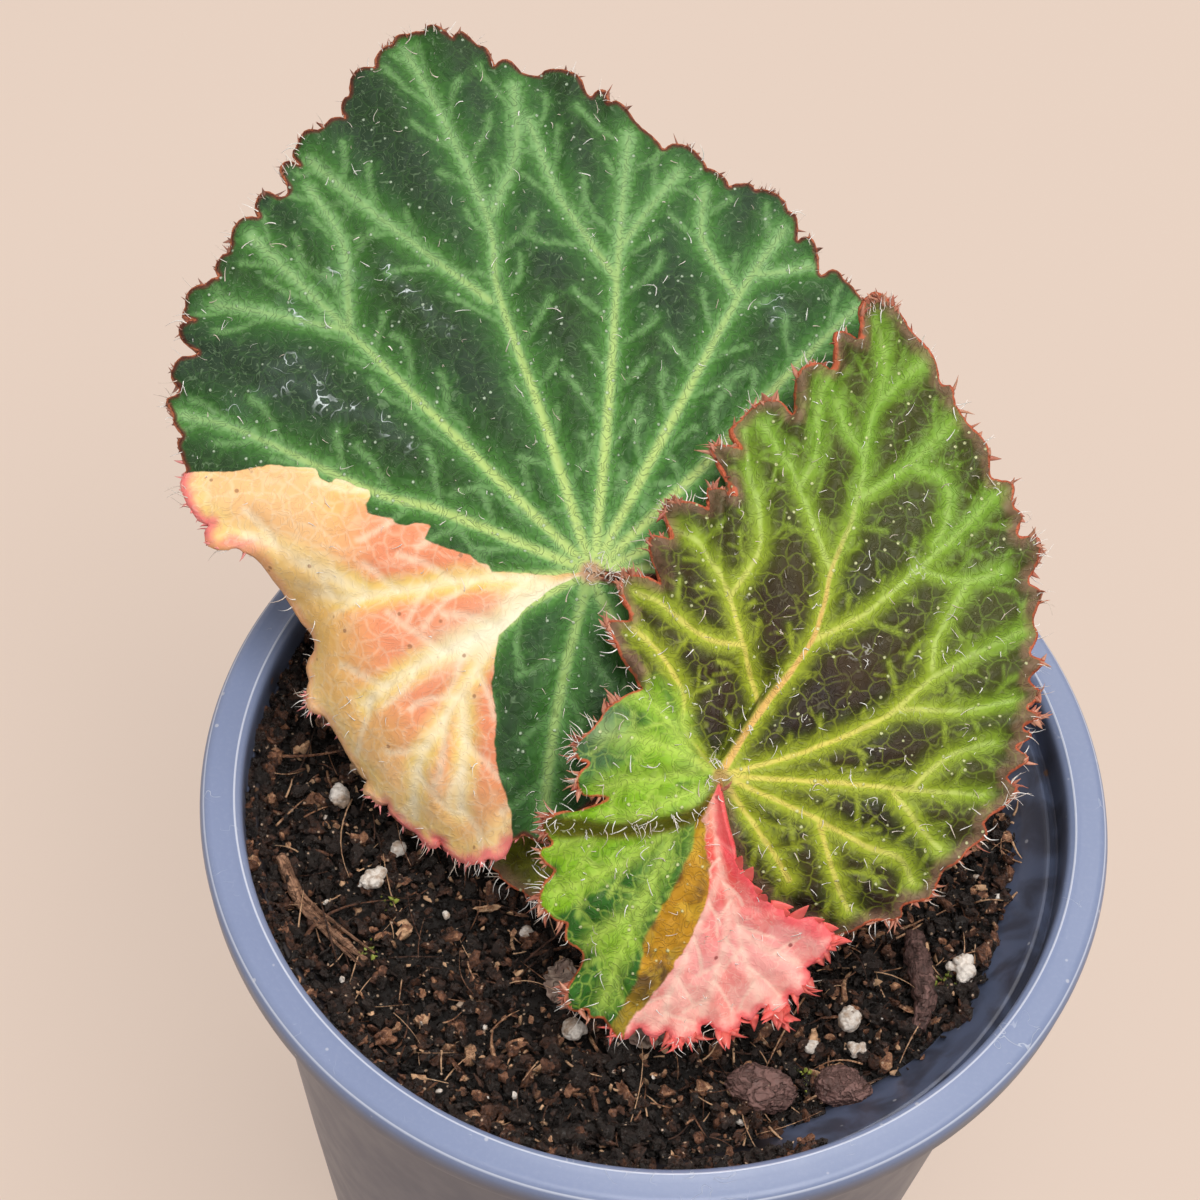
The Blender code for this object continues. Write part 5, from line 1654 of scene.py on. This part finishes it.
def makeTwig(line, splinters):
    twig = makeTube(line, looseShape["twigRadii"], 24, 0.42, 0.3)
    for i, (right, back, up, size) in enumerate(splinters):
        beside = [(x + right * (k + 1) * 0.45, y + back * (k + 1) * 0.35, z + up)
                  for k, (x, y, z) in enumerate(line)]
        joinTo(twig, [makeTube(beside[i % 2:], (size * 1.6, size, size * 0.4), 12, 0.3, 0.4)])
    return twig


def makeGrain(x, y, radius, knots, seed):  # a cluster of a few rounded grains grown together
    rng = np.random.default_rng(seed)
    middle = np.array([x, y, mixHeight(x, y) + radius * 0.55])
    deselectAll()
    parts = []
    for i in range(knots):
        shift = rng.normal(0, 1, 3) * np.array([1, 1, 0.35]) * radius * 0.7 if i else np.zeros(3)
        share = rng.uniform(0.32, 0.58) if i else 0.85 if knots < 5 else 0.58
        size = radius * share
        shift = shift * min(1, (radius * 1.12 - size) / max(np.linalg.norm(shift), 0.01))
        bpy.ops.mesh.primitive_ico_sphere_add(subdivisions=4, radius=size * mm,
                                              location=(middle + shift) * mm)
        parts.append(bpy.context.object)
    grain = parts[0]
    joinTo(grain, parts[1:])
    applyTransform(grain)
    applyModifier(grain, "REMESH", mode="VOXEL", voxel_size=looseShape["voxel"] * mm)
    points = getPoints(grain.data)
    middle = points.mean(axis=0)
    for i, point in enumerate(points):
        away = (point - middle) / (radius * mm)
        push = (0.13 * noise.noise(Vector(away * 2.2) + Vector((seed, 0, 0)))
                + 0.07 * noise.noise(Vector(away * 5.5)) - 0.05 * abs(noise.noise(Vector(away * 9))))
        points[i] = middle + (point - middle) * (1 + push)
    setPoints(grain.data, points)
    return grain


def makeLump(x, y, radius, seed):
    deselectAll()
    bpy.ops.mesh.primitive_ico_sphere_add(subdivisions=6, radius=1)
    lump = bpy.context.object
    points = getPoints(lump.data)
    shift = Vector((seed * 2.3, 1, 0))
    for i, point in enumerate(points):
        way = Vector(point)
        warp = way + Vector((noise.noise(way * 2.1), noise.noise(way * 2.1 + shift), 0)) * 0.35
        crease = abs(noise.noise(Vector((warp.x * 2.2, warp.y * 5.5, warp.z * 4)) + shift))
        push = (0.22 * noise.noise(way * 1.3 + shift) + 0.08 * noise.fractal(way * 3.5 + shift, 0.8, 2.1, 4)
                + 0.26 * min(crease, 0.30) - 0.05)
        points[i] = way * (1 + push)
    points = points * radius * np.array([1.12, 0.78, 0.62])
    setPoints(lump.data, (points + np.array([x, y, mixHeight(x, y) + radius * 0.22])) * mm)
    return lump


def makeScale(x, y, half, turn):
    deselectAll()
    bpy.ops.mesh.primitive_grid_add(x_subdivisions=40, y_subdivisions=24, size=2)
    scale = bpy.context.object
    along, side, _ = getPoints(scale.data).T
    width = (0.12 + 0.5 * (1 - along**2)) * (1 + 0.12 * np.sin(along * 17 + side * 2))
    high = 0.35 * (side * width) ** 2 * 2 + 0.2 * along**2 + 0.05 * np.sin(along * 9 + side * 5)
    cos, sin = math.cos(math.radians(turn)), math.sin(math.radians(turn))
    px = (along * cos - side * width * sin) * half + x
    py = (along * sin + side * width * cos) * half + y
    setPoints(scale.data, np.column_stack([px, py, mixHeight(x, y) + 0.9 + high * half]) * mm)
    applyModifier(scale, "SOLIDIFY", thickness=0.22 * mm, offset=0)
    return scale


barkBrown = barkMaterial("barkBrown", (0.040, 0.019, 0.016), (0.22, 0.120, 0.105), 2.2, 520)
barkTwig = barkMaterial("twigWood", (0.085, 0.034, 0.018), (0.56, 0.31, 0.19), 3.4, 560)
perliteWhite = perliteMaterial()
dryTan = barkMaterial("dryTan", (0.20, 0.12, 0.10), (0.56, 0.44, 0.35), 3.0, 450)

twig = makeTwig(onMix(looseShape["twig"]), looseShape["splinters"])
finishPiece(twig, "twigPiece", barkTwig, "twig")
strip = makeTube(onMix(looseShape["strip"]), looseShape["stripRadii"], 32, 0.34, 0.25)
finishPiece(strip, "barkStrip", barkBrown, "bark_strip")
for model, places, name, slot, material, node in (
        (makeLump, looseShape["lumps"], "barkLump", "bark", barkBrown, "bark_lump"),
        (makeGrain, looseShape["grains"], "perlite", "perlite", perliteWhite, "perlite"),
        (makeScale, looseShape["scales"], "dryScale", "dry_scale", dryTan, "dry_scale")):
    for i, facts in enumerate(places, 1):
        finishPiece(model(*facts), f"{name}{i}", material, f"{node}_{i}")
bits = looseShape["bits"]
bitPlaces = placesOnMix(placing, bits["count"], bits["lift"])
makeCrumbs("perliteCrumbs", bits, bitPlaces, 900, perliteWhite)
print("Loose pieces made")


# Floor, lights and camera

stageFacts = {
    "floor": {"size": 6, "below": 0.0002, "shown": (0.775, 0.624, 0.527), "shaded": 0.3,
              "lit": (0.34, 0.30, 0.27), "glow": 0.7},
    "sky": {"lit": (0.36, 0.349, 0.338), "shown": (0.80, 0.66, 0.56)},
    "aim": (0, 0, 0.1),
    "lights": {
        "key": {"place": (0.28, -0.22, 1.25), "size": 0.8, "power": 12.0, "colour": (1.0, 0.98, 0.95)},
        "fill": {"place": (-0.8, -0.6, 0.8), "size": 1.1, "power": 2.6, "colour": (0.97, 0.98, 1.0)},
        "back": {"place": (0.45, 0.80, 1.05), "size": 0.8, "power": 4.2, "colour": (1.0, 0.99, 0.98)},
    },
    "camera": {"place": (-0.0092, -0.2058, 0.4259), "pitch": 54.68, "turn": 5.85, "lens": 96},
}


def seenRays():  # 1 on the rays that show the backdrop, straight or mirrored
    path = addNode("LightPath").outputs
    return most(path["Is Camera Ray"], most(path["Is Glossy Ray"], path["Is Transmission Ray"]))


def makeFloor(facts):
    deselectAll()
    bpy.ops.mesh.primitive_grid_add(x_subdivisions=8, y_subdivisions=8, size=facts["size"],
                                    location=(0, 0, -facts["below"]))
    floor = bpy.context.object
    applyTransform(floor)
    floor.name = "floor"
    floor.data.materials.append(newMaterial("paleFloor"))
    seen = seenRays()
    setShader(blend(seen, facts["lit"], tuple(v * facts["shaded"] for v in facts["shown"])), 0.9, 0.1)
    feed(current["shader"].inputs["Emission Color"], facts["shown"])
    feed(current["shader"].inputs["Emission Strength"], times(seen, facts["glow"]))


def makeSky(facts):
    world = bpy.data.worlds.new("softWorld")
    world.use_nodes = True
    current["tree"] = world.node_tree
    feed(world.node_tree.nodes["Background"].inputs["Color"], blend(seenRays(), facts["lit"], facts["shown"]))
    scene.world = world


def makeLight(name, facts):
    data = bpy.data.lights.new(name, "AREA")
    data.shape, data.size, data.energy, data.color = "SQUARE", facts["size"], facts["power"], facts["colour"]
    lamp = bpy.data.objects.new(name, data)
    lamp.location = facts["place"]
    way = Vector(stageFacts["aim"]) - Vector(facts["place"])
    lamp.rotation_euler = way.to_track_quat("-Z", "Y").to_euler()
    scene.collection.objects.link(lamp)


def makeCamera(facts):
    pitch, turn = math.radians(facts["pitch"]), math.radians(facts["turn"])
    forward, level = Vector((0, math.cos(pitch), -math.sin(pitch))), Vector((1, 0, 0))
    upright = level.cross(forward)
    right = level * math.cos(turn) + upright * math.sin(turn)
    up = upright * math.cos(turn) - level * math.sin(turn)
    data = bpy.data.cameras.new("camera")
    data.lens, data.sensor_width, data.clip_start, data.clip_end = facts["lens"], 36, 0.01, 20
    camera = bpy.data.objects.new("camera", data)
    axes = Matrix((right, up, -forward)).transposed().to_4x4()
    camera.matrix_world = Matrix.Translation(facts["place"]) @ axes
    scene.collection.objects.link(camera)
    scene.camera = camera


makeFloor(stageFacts["floor"])
for name, facts in stageFacts["lights"].items():
    makeLight(name, facts)
makeSky(stageFacts["sky"])
makeCamera(stageFacts["camera"])
print("Stage set")
